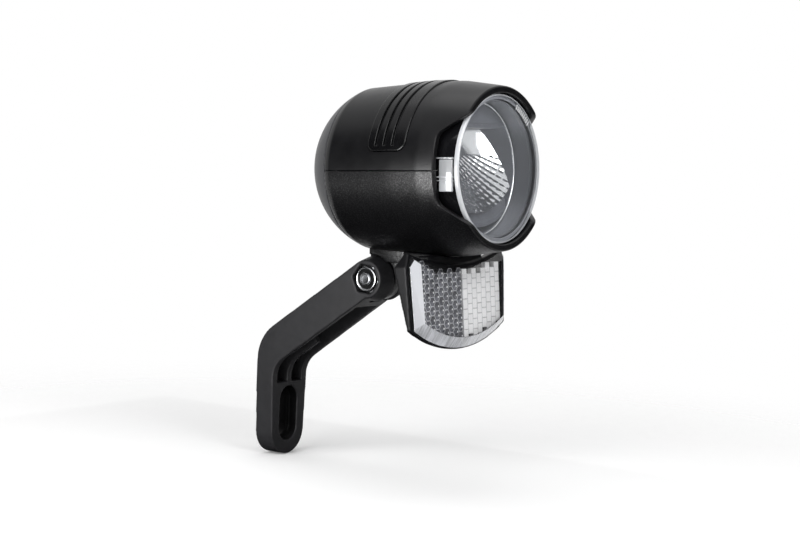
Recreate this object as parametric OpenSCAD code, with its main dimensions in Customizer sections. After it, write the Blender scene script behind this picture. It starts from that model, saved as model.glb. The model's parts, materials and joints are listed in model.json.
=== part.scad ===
// Bicycle headlight: a lamp that tilts on a fork bracket, with a reflector under its front.
// The frame: +X is forward, +Z is up, and the origin is the middle of the bolt slot on the
// bracket's back face. Inside the lamp, lengths run back from the front rim along its axis.

/* [Barrel] */
// Largest radius of the barrel
barrel_r = 25.8; // [23:0.1:28]
// How much the barrel's radius falls to its front rim
rim_taper = 2.1; // [0.5:0.1:3]
// How much the barrel's radius falls to its rounded tail
tail_taper = 1.7; // [0.5:0.1:3]
// Length of the rounded tail behind the barrel
tail_h = 17.4; // [14:0.1:20]
// Distance from the front rim back to the largest radius
crease_back = 15.8; // [13:0.1:19]
// Wall thickness of the shells and the rear cap
shell_wall = 2; // [1.6:0.1:2.4]
// Height of the split between the shells, below the axis
split_drop = 0.6; // [0:0.1:2]
// Distance from the start of the rounded tail back to the rear cap's seam
seam_past = 2.2; // [1:0.1:4]
// Width of the seams between the outer pieces
seam_gap = 0.14; // [0.1:0.02:0.3]

/* [Visor] */
// Depth of the side cut-outs behind the rim
visor_depth = 7.6; // [5:0.1:8.6]
// Half height of a cut-out at its floor
visor_floor = 9.8; // [6:0.1:12]
// Half height of a cut-out at the rim
visor_mouth = 15.4; // [14:0.1:18]

/* [Rib panel] */
// Distance from the largest radius back to the panel
panel_back = 1.25; // [0.5:0.05:4]
// Width of the panel along the axis
panel_w = 13.4; // [12:0.1:18]
// Height of the panel's lower ends above the axis
panel_low = 4.9; // [2:0.1:10]
// Depth of the panel's recess in the shell
panel_recess = 1; // [0.6:0.1:1.2]
// Rise of the panel above the shell
panel_proud = 0.4; // [0:0.05:0.8]
// Spacing of the grooves
groove_pitch = 3; // [2.4:0.1:3.6]
// Width of a groove
groove_w = 1; // [0.6:0.1:1.4]
// Depth of a groove
groove_depth = 0.7; // [0.3:0.05:0.9]
// Height of the grooves' lower ends above the axis
groove_low = 6.9; // [6:0.1:14]

/* [Lens] */
// Gap between the lens and the visor
lens_gap = 0.2; // [0.1:0.05:0.5]
// Wall thickness of the lens cup's side
lens_wall = 1.5; // [1:0.1:2]
// Thickness of the lens face
lens_face = 1.7; // [1:0.1:2.4]
// Distance of the lens face's edge behind the rim
lens_set = 1.3; // [1:0.1:3]
// Rise of the lens face from its edge to its middle
lens_dome = 1.6; // [0.6:0.1:3]
// Length of the lens cup's side behind the edge of its face
lens_side = 8.7; // [7:0.1:10]
// Thickness of the lens flange
flange_t = 1.4; // [1:0.1:2]
// Thickness of the lens seal
seal_t = 0.6; // [0.4:0.1:1]

/* [Mirror bowl] */
// Distance of the bowl's front edge ahead of the lens flange
bowl_ahead = 0.9; // [0.4:0.1:2]
// Focal length of the bowl
bowl_focal = 11; // [9:0.1:12]
// Distance from the bowl's front edge back to its focus
focus_in = 6.2; // [5:0.1:8]
// Room between the shelf's lower face and the top of the bowl
shelf_room = 6.9; // [6.2:0.1:8.7]
// Thickness of the shelf
shelf_t = 1.2; // [0.8:0.1:1.6]
// Wall thickness of the bowl
bowl_wall = 1; // [0.8:0.1:1.4]

/* [Electronics] */
// Thickness of the LED board
led_board_t = 1.2; // [0.8:0.1:1.6]
// Width of the LED board
led_board_w = 16; // [12:0.5:18]
// Thickness of the heat sink's base
sink_base_t = 1.5; // [1:0.1:2]
// Height of the heat sink's fins
fin_h = 3.6; // [2:0.1:4]
// Number of fins on the heat sink
fin_count = 5; // [3:1:7]
// Length of the bay between the bowl and the rear cap's seam
bay_len = 18.9; // [17:0.1:26]
// Thickness of the driver board
driver_t = 1.6; // [1:0.1:2]
// Radius of the capacitor
capacitor_r = 5; // [3:0.1:6]
// Length of the capacitor
capacitor_len = 9; // [5:0.1:10]
// Width of the cable terminal
terminal_w = 8; // [6:0.1:9]
// Distance from the driver board's front to the rear cap's seam
driver_room = 15; // [14:0.1:16]

/* [Cable inlet] */
// Radius of the cable's bore in the grommet
cable_r = 2.1; // [1.5:0.1:2.3]
// Radius of the grommet's neck
grommet_neck_r = 3; // [2.8:0.1:3.4]
// Radius of the grommet's flanges
grommet_r = 4.2; // [4:0.1:4.6]
// Depth of the inlet below the axis
inlet_drop = 4; // [2:0.1:5]

/* [Screws] */
// Radius of the small screws' shanks
screw_r = 1.25; // [1:0.05:1.4]
// Radius of the small screws' heads
screw_head_r = 2.2; // [1.9:0.05:2.4]

/* [Reflector] */
// Distance of the reflector housing's front plane behind the rim, at its middle
retro_back = 15.8; // [14:0.1:18]
// Distance of the reflector's middle below the barrel
retro_hang = 12.2; // [12.2:0.1:15]
// Lean of the reflector's foot forward, in degrees
retro_lean = 2.6; // [0:0.1:5]
// Half width of the reflector lens at its top
retro_top_w = 23.9; // [21:0.1:26]
// Half width of the reflector lens at its foot
retro_foot_w = 22.8; // [20:0.1:25]
// Rise of the reflector lens in front of its housing
retro_rise = 2.5; // [1.5:0.1:3.5]
// Width of the bevel round the reflector lens
retro_bevel = 3; // [1.5:0.1:4]
// Border of the housing round the reflector lens
retro_border = 1.4; // [0.8:0.1:2]
// Thickness of the housing at its top
retro_top_t = 4.4; // [3.6:0.1:6]
// Thickness of the housing at its foot
retro_foot_t = 1.4; // [1.2:0.1:3]

/* [Pivot] */
// Forward distance of the pivot from the bracket's back face
pivot_x = 39.6; // [30:0.1:50]
// Height of the pivot above the middle of the bolt slot
pivot_z = 44.8; // [36:0.1:55]
// Height of the barrel's underside above the pivot
neck_rise = 8.6; // [8.3:0.1:12]
// Distance of the pivot ahead of the rear cap's seam
pivot_ahead = 2.6; // [0:0.1:5]
// Upward tilt of the lamp at rest, in degrees
lamp_tilt = 3; // [-10:0.5:15]
// Radius of the pivot bolt
bolt_r = 2.5; // [2:0.1:3]
// Thickness of the lamp's lug between the bracket's ears
lug_t = 3.75; // [3:0.05:5]
// Radius of the lamp's lug
lug_r = 6.3; // [5.5:0.1:6.6]
// Thickness of a pivot washer
washer_t = 0.5; // [0.3:0.1:1]
// Width of the pivot nut across its flats
nut_flats = 8; // [7:0.1:8.4]
// Height of the pivot nut, with its collar
nut_h = 4.2; // [3.4:0.1:4.8]

/* [Bracket] */
// Slope of the arm below level, in degrees
arm_drop = 35.3; // [25:0.1:45]
// Depth of the arm, seen from the side
arm_depth = 10.45; // [9:0.05:13]
// Radius of the ears at their outer faces
ear_r = 5.65; // [5.2:0.05:6.5]
// Growth of the ears' radius towards the lug
ear_flare = 1.25; // [0:0.05:1.3]
// Thickness of the ear that holds the nut
near_ear_t = 5.45; // [5:0.05:7]
// Thickness of the ear under the bolt's head
far_ear_t = 4.05; // [3:0.05:6]
// Thickness of the bracket's plate
plate_t = 6.6; // [5:0.1:9]
// Half width of the plate at the bend
plate_w = 8.3; // [7.8:0.1:11]
// Half width of the plate at its foot
foot_w = 7.65; // [6.8:0.05:9]
// Distance from the middle of the slot down to the plate's foot
plate_low = 12.7; // [12:0.1:16]
// Wall thickness of the arm's channel
channel_wall = 2.3; // [1.6:0.1:3]
// Thickness of the rib in the channel
rib_t = 1.9; // [1:0.1:3]
// Half width of the bolt slot
slot_r = 3.2; // [2.6:0.1:3.4]
// Length of the slot between the middles of its round ends
slot_run = 8.6; // [4:0.1:9]
// Half width of the slot's counterbore
counter_r = 4.25; // [3.8:0.05:4.4]
// Depth of the slot's counterbore
counter_depth = 3.4; // [2:0.1:4.4]

/* [Hidden] */
FINE = 96;
MID = 48;
BIG = 200;

BLACK = [0.07, 0.07, 0.08];
DARK = [0.2, 0.2, 0.21];
CLEAR = [0.86, 0.89, 0.92, 0.45];
CHROME = [0.75, 0.76, 0.78];
RUBBER = [0.1, 0.1, 0.1];
BOARD = [0.12, 0.34, 0.2];

// Clearances: touch between stacked pieces, slip round a pin or screw, fit between nested pieces
touch = 0.05;
slip = 0.05;
fit = 0.3;

// Radii along the outside, and the pivot's and the reflector's places below the axis
rim_r = barrel_r - rim_taper;
tail_r = barrel_r - tail_taper;
axis_rise = tail_r + neck_rise;
retro_drop = barrel_r + retro_hang;

// Places along the lamp's axis, as distances back from the front rim
flange_front = lens_set + lens_side;
flange_rear = flange_front + flange_t;
seat_front = flange_rear + seal_t;
seat_t = 1.8;
seat_rear = seat_front + seat_t;
bowl_front = flange_front - bowl_ahead;
focus_back = bowl_front + focus_in;
bowl_rear = focus_back + bowl_focal;
seam_back = bowl_rear + 1.6 * bowl_wall + bay_len;
barrel_len = seam_back - seam_past;
driver_back = seam_back - driver_room;
driver_rear = driver_back + driver_t;
rib_ring_t = 1.3;
sink_rear = driver_back - rib_ring_t - 2 * fit;
rim_ahead = seam_back - pivot_ahead;
tail_ball_r = span_r(tail_r, tail_h);
tail_mid = barrel_len + tail_h - tail_ball_r;

// Radii inside the barrel
lens_r = rim_r - shell_wall - lens_gap;
flange_lip = 1;
flange_r = lens_r + flange_lip;
bowl_r = lens_r - lens_wall - fit;
bowl_in_r = bowl_r - bowl_wall;
seat_r = bowl_r + 2 * fit;
driver_lip = 1.8;
driver_r = tail_r - shell_wall - driver_lip;
cap_seal_t = 0.55;
seam_in_r = ball_r(seam_back, tail_ball_r - shell_wall);
spigot_r = seam_in_r - cap_seal_t - 2 * touch;
spigot_t = 1.5;
spigot_in = 2.8;
spigot_out = 2.2;
cap_seal_w = 1.5;

// Heights of the stack above the bowl's shelf
shelf_rise = bowl_in_r - shelf_room;
shelf_top = shelf_rise + shelf_t;
board_top = shelf_top + led_board_t;
sink_top = board_top + sink_base_t;
sink_w = 2 * sqrt(pow(bowl_in_r - 0.25, 2) - sink_top * sink_top);

// Radius of the barrel's outside at a distance behind its rim
function outer_r(back) = back < crease_back
    ? rim_r + (barrel_r - rim_r) * back / crease_back
    : barrel_r + (tail_r - barrel_r) * (back - crease_back) / (barrel_len - crease_back);

// Radius of the ball at the tail, at a distance behind the rim
function ball_r(back, r) = sqrt(max(0, r * r - pow(back - tail_mid, 2)));

function unit(v) = v / norm(v);

// Points of an arc about c, from angle a0 to a1 in n steps
function arc(c, r, a0, a1, n = 12) =
    [for (i = [0:n]) c + r * [cos(a0 + (a1 - a0) * i / n), sin(a0 + (a1 - a0) * i / n)]];

// The corner at p between its neighbours a and b, rounded with radius r
function corner(p, a, b, r, n = 8) =
    let (u = unit(a - p),
         v = unit(b - p),
         half = acos(u * v) / 2,
         c = p + unit(u + v) * r / sin(half),
         s = p + u * r / tan(half) - c,
         e = p + v * r / tan(half) - c,
         a0 = atan2(s[1], s[0]),
         turn = (atan2(e[1], e[0]) - a0 + 540) % 360 - 180)
    arc(c, r, a0, a0 + turn, n);

// An outline with each corner rounded by its own radius, where 0 leaves it sharp
function rounded(pts, radii) =
    let (n = len(pts))
    [for (i = [0:n - 1]) each radii[i] == 0
        ? [pts[i]]
        : corner(pts[i], pts[(i + n - 1) % n], pts[(i + 1) % n], radii[i])];

// Turns an outline of radius and place along the axis into a round solid about X
module lathe() {
    rotate([0, 90, 0]) rotate_extrude($fn = FINE) children();
}

// Extrudes an X and Z outline across the part, to a width centred on y
module across(width, y = 0) {
    translate([0, y, 0]) rotate([90, 0, 0]) linear_extrude(height = width, center = true) children();
}

// Extrudes a Y and Z outline forward from x
module forward(depth, x = 0) {
    translate([x, 0, 0]) rotate([90, 0, 90]) linear_extrude(height = depth) children();
}

// A rod along X, from x over a length
module rod_x(r, x, length) {
    translate([x, 0, 0]) rotate([0, 90, 0]) cylinder(r = r, h = length, $fn = MID);
}

// A rod along Y, from y over a length
module rod_y(r, y, length, sides = MID) {
    translate([0, y, 0]) rotate([-90, 0, 0]) cylinder(r = r, h = length, $fn = sides);
}

// Places the lamp, with the front rim's centre at the origin of its own frame
module lamp() {
    translate([pivot_x, 0, pivot_z]) rotate([0, -lamp_tilt, 0])
        translate([rim_ahead, 0, axis_rise]) children();
}

// Places what is set out from the pivot in the lamp's own frame
module at_pivot() {
    translate([-rim_ahead, 0, -axis_rise]) children();
}

// Everything above a height, or below it
module above(z) {
    translate([-BIG, -BIG, z]) cube([2 * BIG, 2 * BIG, BIG]);
}
module below(z) {
    translate([-BIG, -BIG, z - BIG]) cube([2 * BIG, 2 * BIG, BIG]);
}

// The barrel with its rounded tail as one solid, grown outwards
module barrel(grow = 0) {
    union() {
        lathe() polygon([[0, 0], [rim_r + grow, 0], [barrel_r + grow, -crease_back],
            [tail_r + grow, -barrel_len], [0, -barrel_len]]);
        lathe() intersection() {
            translate([0, -tail_mid]) circle(r = tail_ball_r + grow, $fn = FINE);
            translate([0, -barrel_len - BIG]) square([BIG, BIG]);
        }
    }
}

// A ring about the axis between two radii, from a place behind the rim over a length
module ring(r_in, r_out, back, length) {
    lathe() translate([r_in, -back - length]) square([r_out - r_in, length]);
}

// The visor's side cut-outs, through both sides
module visor_cut() {
    edge = 2 * visor_depth;
    far = 2 * barrel_r;
    outline = rounded([[edge, -far], [0, -far], [0, -visor_mouth], [-visor_depth, -visor_floor],
        [-visor_depth, visor_floor], [0, visor_mouth], [0, far], [edge, far]],
        [0, 0, 2.4, 3, 3, 2.4, 0, 0]);
    across(4 * barrel_r) polygon(outline);
}

panel_front = crease_back + panel_back;
panel_rear = panel_front + panel_w;
panel_mid = (panel_front + panel_rear) / 2 + 0.5;

// Side view of the rib panel, grown outwards
module panel_side(grow) {
    top = 2 * barrel_r;
    across(4 * barrel_r) polygon(rounded([[-panel_rear - grow, panel_low - grow],
        [-panel_front + grow, panel_low - grow], [-panel_front + grow, top],
        [-panel_rear - grow, top]], [2.6, 2.6, 0, 0]));
}

// Ring between two offsets from the barrel's outside, along the rib panel
module panel_ring(low, high, grow) {
    front = panel_front - grow;
    rear = panel_rear + grow;
    lathe() polygon([[outer_r(front) + low, -front], [outer_r(front) + high, -front],
        [outer_r(rear) + high, -rear], [outer_r(rear) + low, -rear]]);
}

// Both shells in one, with the lens seat and the driver board's rib
module shell_body() {
    difference() {
        union() {
            difference() {
                barrel();
                barrel(-shell_wall);
                rod_x(BIG / 2, -BIG, BIG - seam_back);
                rod_x(rim_r - shell_wall, -shell_wall, 2 * shell_wall);
            }
            ring(seat_r, outer_r(seat_front) - shell_wall / 2, seat_front, seat_t);
            ring(driver_r - 1, outer_r(driver_back) - shell_wall / 2, driver_back - touch - rib_ring_t,
                rib_ring_t);
        }
        visor_cut();
    }
}

module upper_shell() {
    color(BLACK) lamp() intersection() {
        above(-split_drop + seam_gap / 2);
        difference() {
            shell_body();
            intersection() {
                panel_ring(-panel_recess, 1, seam_gap);
                panel_side(seam_gap);
            }
        }
    }
}

neck_front = 12.2;
neck_rear = -0.9;
neck_w = 8;
neck_low = 5;
ear_clear_r = ear_r + ear_flare + 0.4;
lug_mid = (near_ear_t - far_ear_t) / 2;
hinge_w = near_ear_t + far_ear_t + lug_t + 2 * washer_t + 6 * touch;
ear_half = hinge_w / 2;

// The neck under the barrel and the lug that turns on the pivot bolt
module neck() {
    root = axis_rise - tail_r + shell_wall / 2;
    at_pivot() {
        difference() {
            across(neck_w) polygon([[neck_rear, neck_low], [neck_front - 0.8, neck_low],
                [neck_front, root], [neck_rear, root]]);
            rod_y(ear_clear_r, -BIG / 2, BIG);
        }
        across(lug_t, lug_mid) polygon([[-lug_r, 0.5], [-2.6, lug_r], [-2.6, root],
            [neck_front - 0.4, root], [neck_front - 0.8, neck_low], [lug_r, -0.5]]);
        rod_y(lug_r, lug_mid - lug_t / 2, lug_t);
    }
}

post_r = 2 * screw_r;
post_clear = 0.9;
post_turn = 33.2;
post_reach = spigot_r - spigot_t - post_r - post_clear;
post_y = post_reach * sin(post_turn);
post_z = -post_reach * cos(post_turn);
boss_h = 6;
post_in = 2;
post_end = seam_back - post_in;
screw_bite = 7;
saddle_screw_back = panel_rear - 5;

// Posts in the lower shell that take the rear cap's screws, with their webs
module cap_posts() {
    for (side = [-1, 1]) {
        translate([0, side * post_y, post_z]) rod_x(post_r, -post_end, post_end - driver_rear - fit);
        translate([-post_end + 1.6, side * post_y - 1, -tail_r + shell_wall / 2])
            intersection() {
                cube([post_end - driver_rear - fit - 1.6, 2, tail_r + post_z]);
                translate([post_end - 1.6, 1 - side * post_y, tail_r - shell_wall / 2])
                    lathe() polygon([[0, -driver_back], [tail_r - shell_wall / 2, -driver_back],
                        [tail_r - shell_wall / 2, -barrel_len], [0, -barrel_len]]);
            }
    }
}

module lower_shell() {
    boss_low = -outer_r(saddle_screw_back) + shell_wall / 2;
    color(BLACK) lamp() difference() {
        union() {
            intersection() {
                below(-split_drop - seam_gap / 2);
                shell_body();
            }
            neck();
            cap_posts();
            translate([-saddle_screw_back, 0, boss_low]) cylinder(r = 2 * screw_r, h = boss_h, $fn = MID);
        }
        at_pivot() rod_y(bolt_r + slip, -BIG / 2, BIG);
        for (side = [-1, 1])
            translate([0, side * post_y, post_z]) rod_x(screw_r + slip, -post_end - 1, screw_bite + 2);
        translate([-saddle_screw_back, 0, boss_low - 2 * shell_wall])
            cylinder(r = screw_r + slip, h = 2 * shell_wall + boss_h - 1, $fn = MID);
    }
}

screw_seat_in = 4;
cap_seat = seam_back + screw_seat_in;
inlet_seat = tail_mid + ball_r(tail_mid + inlet_drop, tail_ball_r) - 0.7;
inlet_wall = 2;
grommet_lip = 1.4;

module rear_cap() {
    color(DARK) lamp() difference() {
        union() {
            difference() {
                barrel();
                barrel(-shell_wall);
                rod_x(BIG / 2, -seam_back - seam_gap, BIG);
            }
            ring(spigot_r - spigot_t, spigot_r, seam_back - spigot_in, spigot_in + spigot_out);
            intersection() {
                union() {
                    for (side = [-1, 1])
                        translate([0, side * post_y, post_z])
                            rod_x(screw_head_r + 1, -seam_back - tail_h, tail_h + seam_back - post_end - fit);
                    translate([0, 0, -inlet_drop])
                        rod_x(grommet_r + 0.8, -inlet_seat - 1, inlet_wall + 1);
                }
                barrel(-shell_wall / 2);
            }
        }
        for (side = [-1, 1]) translate([0, side * post_y, post_z]) {
            rod_x(screw_r + 0.2, -BIG, BIG);
            rod_x(screw_head_r + fit, -BIG, BIG - cap_seat);
        }
        translate([0, 0, -inlet_drop]) {
            rod_x(grommet_neck_r + slip, -BIG, BIG);
            rod_x(grommet_r + fit, -BIG, BIG - inlet_seat);
            rod_x(grommet_r + fit, inlet_wall - inlet_seat, BIG);
        }
    }
}

module rib_panel() {
    color(BLACK) lamp() difference() {
        intersection() {
            panel_ring(touch - panel_recess, panel_proud, 0);
            panel_side(0);
        }
        for (k = [-1:1]) {
            back = panel_mid + k * groove_pitch;
            floor_r = outer_r(back) + panel_proud - groove_depth;
            intersection() {
                lathe() translate([floor_r, -back - groove_w / 2]) square([2, groove_w]);
                above(groove_low);
            }
            for (side = [0, 1]) mirror([0, side, 0])
                rotate([-asin(groove_low / floor_r), 0, 0]) translate([-back, 0, 0])
                    rod_y(0.7 * groove_w, floor_r, 2);
        }
    }
}

lens_ball_r = (lens_r * lens_r + lens_dome * lens_dome) / (2 * lens_dome);

// Half outline of a domed disc whose face is set back from the lens's own
module lens_outline(set, r, length) {
    intersection() {
        translate([0, lens_dome - lens_set - set - lens_ball_r]) circle(r = lens_ball_r, $fn = FINE);
        translate([0, -length]) square([r, length + lens_ball_r]);
    }
}

module lens() {
    color(CLEAR) lamp() lathe() difference() {
        union() {
            lens_outline(0, lens_r, flange_rear);
            translate([0, -flange_rear]) square([flange_r, flange_t]);
        }
        lens_outline(lens_face, lens_r - lens_wall, 2 * flange_rear);
    }
}

module lens_seal() {
    color(RUBBER) lamp() ring(seat_r + 0.3, flange_r - 0.3, flange_rear, seal_t);
}

// The bowl's mirror surface as a solid of revolution about the shelf's level
module paraboloid(shift) {
    steps = 16;
    span = 2 * lens_r;
    pts = [for (i = [0:steps]) let (r = span * i / steps)
        [r, r * r / (4 * bowl_focal) - bowl_rear - shift]];
    translate([0, 0, shelf_rise]) lathe() polygon(concat(pts, [[0, pts[steps][1]]]));
}

led_window = 7;
bowl_flange_t = 1.2;

module mirror_bowl() {
    ring_rear = seat_rear + touch + bowl_flange_t;
    cheek_rear = bowl_rear - 4.5;
    color(CHROME) lamp() difference() {
        union() {
            intersection() {
                below(shelf_top);
                union() {
                    ring(bowl_in_r, bowl_r, bowl_front, cheek_rear - bowl_front);
                    intersection() {
                        paraboloid(1.6 * bowl_wall);
                        rod_x(bowl_r, -BIG, BIG - bowl_front);
                    }
                }
            }
            ring(bowl_in_r, bowl_r, bowl_front, ring_rear - bowl_front);
            ring(bowl_in_r, seat_r + 1, ring_rear - bowl_flange_t, bowl_flange_t);
            intersection() {
                rod_x(bowl_r, -bowl_rear, bowl_rear - bowl_front);
                translate([-BIG, -BIG, shelf_rise]) cube([2 * BIG, 2 * BIG, shelf_t]);
            }
        }
        intersection() {
            paraboloid(0);
            rod_x(bowl_in_r, -BIG, 2 * BIG);
            below(shelf_rise);
        }
        translate([-focus_back, 0, shelf_rise])
            cube([led_window, led_window, 4 * shelf_t], center = true);
    }
}

module bezel() {
    color(CHROME) lamp() intersection() {
        rod_x(bowl_in_r - touch, -bowl_front - 1.2, 1.2);
        above(shelf_top + touch);
    }
}

module led_emitter() {
    base = 3.4;
    die_t = 0.8;
    color([0.95, 0.86, 0.45]) lamp() translate([-focus_back, 0, shelf_top]) {
        translate([-base / 2, -base / 2, -die_t]) cube([base, base, die_t]);
        difference() {
            translate([0, 0, -die_t]) sphere(r = 0.44 * base, $fn = MID);
            translate([-base, -base, -die_t / 2]) cube(2 * base);
        }
    }
}

// How far the LED board and the heat sink stay behind the bowl's front edge, and ahead of its rear
board_front_in = 1.5;
board_rear_in = 4;

module led_board() {
    board_len = bowl_rear - board_rear_in - bowl_front - board_front_in;
    color([0.85, 0.86, 0.84]) lamp()
        translate([-bowl_rear + board_rear_in, -led_board_w / 2, shelf_top])
            cube([board_len, led_board_w, led_board_t]);
}

module heat_sink() {
    fin_t = 1.2;
    fin_front = seat_rear + bowl_flange_t + 1;
    spread = sink_w - fin_t;
    color([0.6, 0.61, 0.63]) lamp() {
        translate([-sink_rear, -sink_w / 2, board_top])
            cube([sink_rear - bowl_front - board_front_in, sink_w, sink_base_t]);
        for (i = [0:fin_count - 1])
            translate([-sink_rear, spread * (i / (fin_count - 1) - 0.5) - fin_t / 2, board_top])
                cube([sink_rear - fin_front, fin_t, sink_base_t + fin_h]);
    }
}

module driver_board() {
    color(BOARD) lamp() rod_x(driver_r, -driver_rear, driver_t);
}

module capacitor() {
    side = 6;
    color([0.12, 0.13, 0.3]) lamp()
        translate([0, side, side]) rod_x(capacitor_r, -driver_rear - capacitor_len, capacitor_len);
}

module cable_terminal() {
    depth = 0.75 * terminal_w;
    height = 0.8 * terminal_w;
    color([0.2, 0.35, 0.25]) lamp() difference() {
        translate([-driver_rear - depth, -terminal_w / 2, -inlet_drop - height / 2])
            cube([depth, terminal_w, height]);
        for (side = [-1, 1]) translate([0, side * terminal_w / 4, -inlet_drop])
            rod_x(terminal_w / 7, -driver_rear - 2 * depth, 1.6 * depth);
    }
}

module cap_seal() {
    color(RUBBER) lamp() ring(spigot_r + touch, seam_in_r - touch, seam_back - cap_seal_w - touch, cap_seal_w);
}

// A small screw whose head's seat is at the origin, with its shank along +X
module screw_x(length) {
    head_t = 1.8;
    difference() {
        union() {
            rod_x(screw_head_r, -head_t, head_t);
            rod_x(screw_r, 0, length);
        }
        rotate([0, 90, 0]) translate([0, 0, -2 * head_t])
            cylinder(r = 0.5 * screw_head_r, h = 1.6 * head_t, $fn = 6);
    }
}

module cap_screws() {
    color(CHROME) lamp() for (side = [-1, 1])
        translate([-cap_seat, side * post_y, post_z]) screw_x(cap_seat - post_end + screw_bite);
}

module cable_grommet() {
    color(RUBBER) lamp() translate([-inlet_seat, 0, -inlet_drop]) difference() {
        union() {
            rod_x(grommet_r, -grommet_lip - touch, grommet_lip);
            rod_x(grommet_neck_r, -touch - grommet_lip / 2, inlet_wall + 2 * touch + grommet_lip);
            rod_x(grommet_r, inlet_wall + touch, grommet_lip);
        }
        rod_x(cable_r, -BIG / 2, BIG);
    }
}

retro_shoulder = 10.2;
retro_tip = 13;
retro_tip_in = 1.4;
retro_dip = 8.85;
retro_hip = -7.8;
retro_foot = -14;
retro_pocket = 0.5;
retro_step = 0.25;

// Radius of the arc that spans twice half and sags by depth
function span_r(half, depth) = (half * half + depth * depth) / (2 * depth);

// The reflector lens's outline in Y and Z, grown outwards, less at its foot
module retro_shape(grow) {
    shoulder = [retro_top_w + grow, retro_shoulder];
    hip = [retro_foot_w + grow, retro_hip];
    tip = [retro_top_w - retro_tip_in + grow, retro_tip + grow];
    low = retro_foot - grow / 4;
    foot_r = span_r(hip[0], hip[1] - low);
    dip_r = span_r(tip[0], tip[1] - retro_dip - grow);
    past_hip = hip + (hip - shoulder) / 2;
    past_tip = tip + (tip - shoulder);
    difference() {
        intersection() {
            translate([0, low + foot_r]) circle(r = foot_r, $fn = FINE);
            polygon([past_hip, shoulder, past_tip, [-past_tip[0], past_tip[1]],
                [-shoulder[0], shoulder[1]], [-past_hip[0], past_hip[1]]]);
        }
        translate([0, retro_dip + grow + dip_r]) circle(r = dip_r, $fn = FINE);
    }
}

// Places the reflector, with its housing's front plane at x = 0
module retro() {
    translate([-retro_back, 0, -retro_drop]) rotate([0, -retro_lean, 0]) children();
}

module reflector_lens() {
    foot_r = span_r(retro_foot_w, retro_hip - retro_foot);
    dip_r = span_r(retro_top_w - retro_tip_in, retro_tip - retro_dip);
    bevel_h = retro_rise - retro_step;
    slope = retro_bevel / bevel_h;
    side_lean = atan((retro_top_w - retro_foot_w) / (retro_shoulder - retro_hip));
    color(CLEAR) lamp() retro() difference() {
        intersection() {
            forward(retro_rise + retro_pocket, -retro_pocket) retro_shape(0);
            translate([0, 0, retro_foot + foot_r]) lathe() polygon([[0, -2 * bevel_h],
                [foot_r + slope * (retro_step + 2 * bevel_h), -2 * bevel_h],
                [foot_r - retro_bevel, retro_rise], [0, retro_rise]]);
        }
        translate([0, 0, retro_dip + dip_r]) lathe() polygon([[0, retro_step - bevel_h],
            [dip_r - slope / 2 * bevel_h, retro_step - bevel_h],
            [dip_r + slope * bevel_h, retro_step + 2 * bevel_h], [0, retro_step + 2 * bevel_h]]);
        for (side = [0, 1]) mirror([0, side, 0])
            translate([2 * retro_step, retro_top_w, retro_shoulder]) rotate([-side_lean, 0, 0])
                linear_extrude(height = BIG, center = true) polygon([[-bevel_h, retro_bevel],
                    [2 * bevel_h, -2 * retro_bevel], [2 * bevel_h, retro_bevel]]);
    }
}

saddle_w = 14;
saddle_t = 6.2;
saddle_gap = 1.6;
collar_half = 14;
collar_set = 1;
collar_lap = 0.8;
saddle_low = outer_r(panel_rear) + saddle_t;
saddle_rear = rim_ahead - neck_front - saddle_gap;

module reflector_housing() {
    color(BLACK) lamp() {
        difference() {
            retro() difference() {
                intersection() {
                    forward(2 * retro_top_t, -2 * retro_top_t) retro_shape(retro_border);
                    across(4 * retro_top_w) polygon([[0, -BIG], [0, 2 * retro_tip],
                        [-1.2, retro_tip + retro_border], [-retro_top_t, retro_shoulder],
                        [-retro_foot_t, retro_hip + 1], [-retro_foot_t, -BIG]]);
                }
                forward(2 * retro_rise, -retro_pocket - touch) retro_shape(touch);
            }
            barrel(fit);
        }
        difference() {
            union() {
                translate([-saddle_rear, -saddle_w / 2, -saddle_low])
                    cube([saddle_rear - retro_back - retro_foot_t, saddle_w, saddle_low - tail_r + 2]);
                translate([-retro_back - retro_top_t, -collar_half, retro_dip - retro_drop])
                    cube([retro_top_t - collar_set, 2 * collar_half, retro_hang - retro_dip + collar_lap]);
            }
            barrel(2 * touch);
            translate([-saddle_screw_back, 0, -BIG]) cylinder(r = screw_r + 0.2, h = BIG, $fn = MID);
        }
    }
}

module reflector_screw() {
    reach = saddle_low - outer_r(saddle_screw_back) + shell_wall + screw_bite / 2;
    color(CHROME) lamp() translate([-saddle_screw_back, 0, -saddle_low]) rotate([0, -90, 0]) screw_x(reach);
}

// Points of the arm, u along it from the pivot and v square to it
function arm_pt(u, v) = [pivot_x - u * cos(arm_drop) - v * sin(arm_drop),
    pivot_z - u * sin(arm_drop) + v * cos(arm_drop)];

// Distance along the arm at which a line at height v reaches x
function arm_u(x, v) = (pivot_x - v * sin(arm_drop) - x) / cos(arm_drop);

outer_bend_r = 13;
inner_bend_r = 8;
arm_low = ear_r - arm_depth;
knee_z = 11;
pocket_low = slot_run / 2 + counter_r + 1.35;
rib_start = 29;

// Side view of the bracket, without its ears
module bracket_side() {
    polygon(rounded([arm_pt(0, ear_r), arm_pt(arm_u(0, ear_r), ear_r), [0, -plate_low],
        [plate_t, -plate_low], arm_pt(arm_u(plate_t, arm_low), arm_low), arm_pt(0, arm_low)],
        [0, outer_bend_r, 0, 0, inner_bend_r, 0]));
}

// Front view of the bracket, with the plate's taper and its round foot
module bracket_front() {
    foot = arc([0, foot_w - plate_low], foot_w, 180, 360, 24);
    polygon(concat(foot, [[plate_w, knee_z], [plate_w, BIG], [-plate_w, BIG], [-plate_w, knee_z]]));
}

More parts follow.
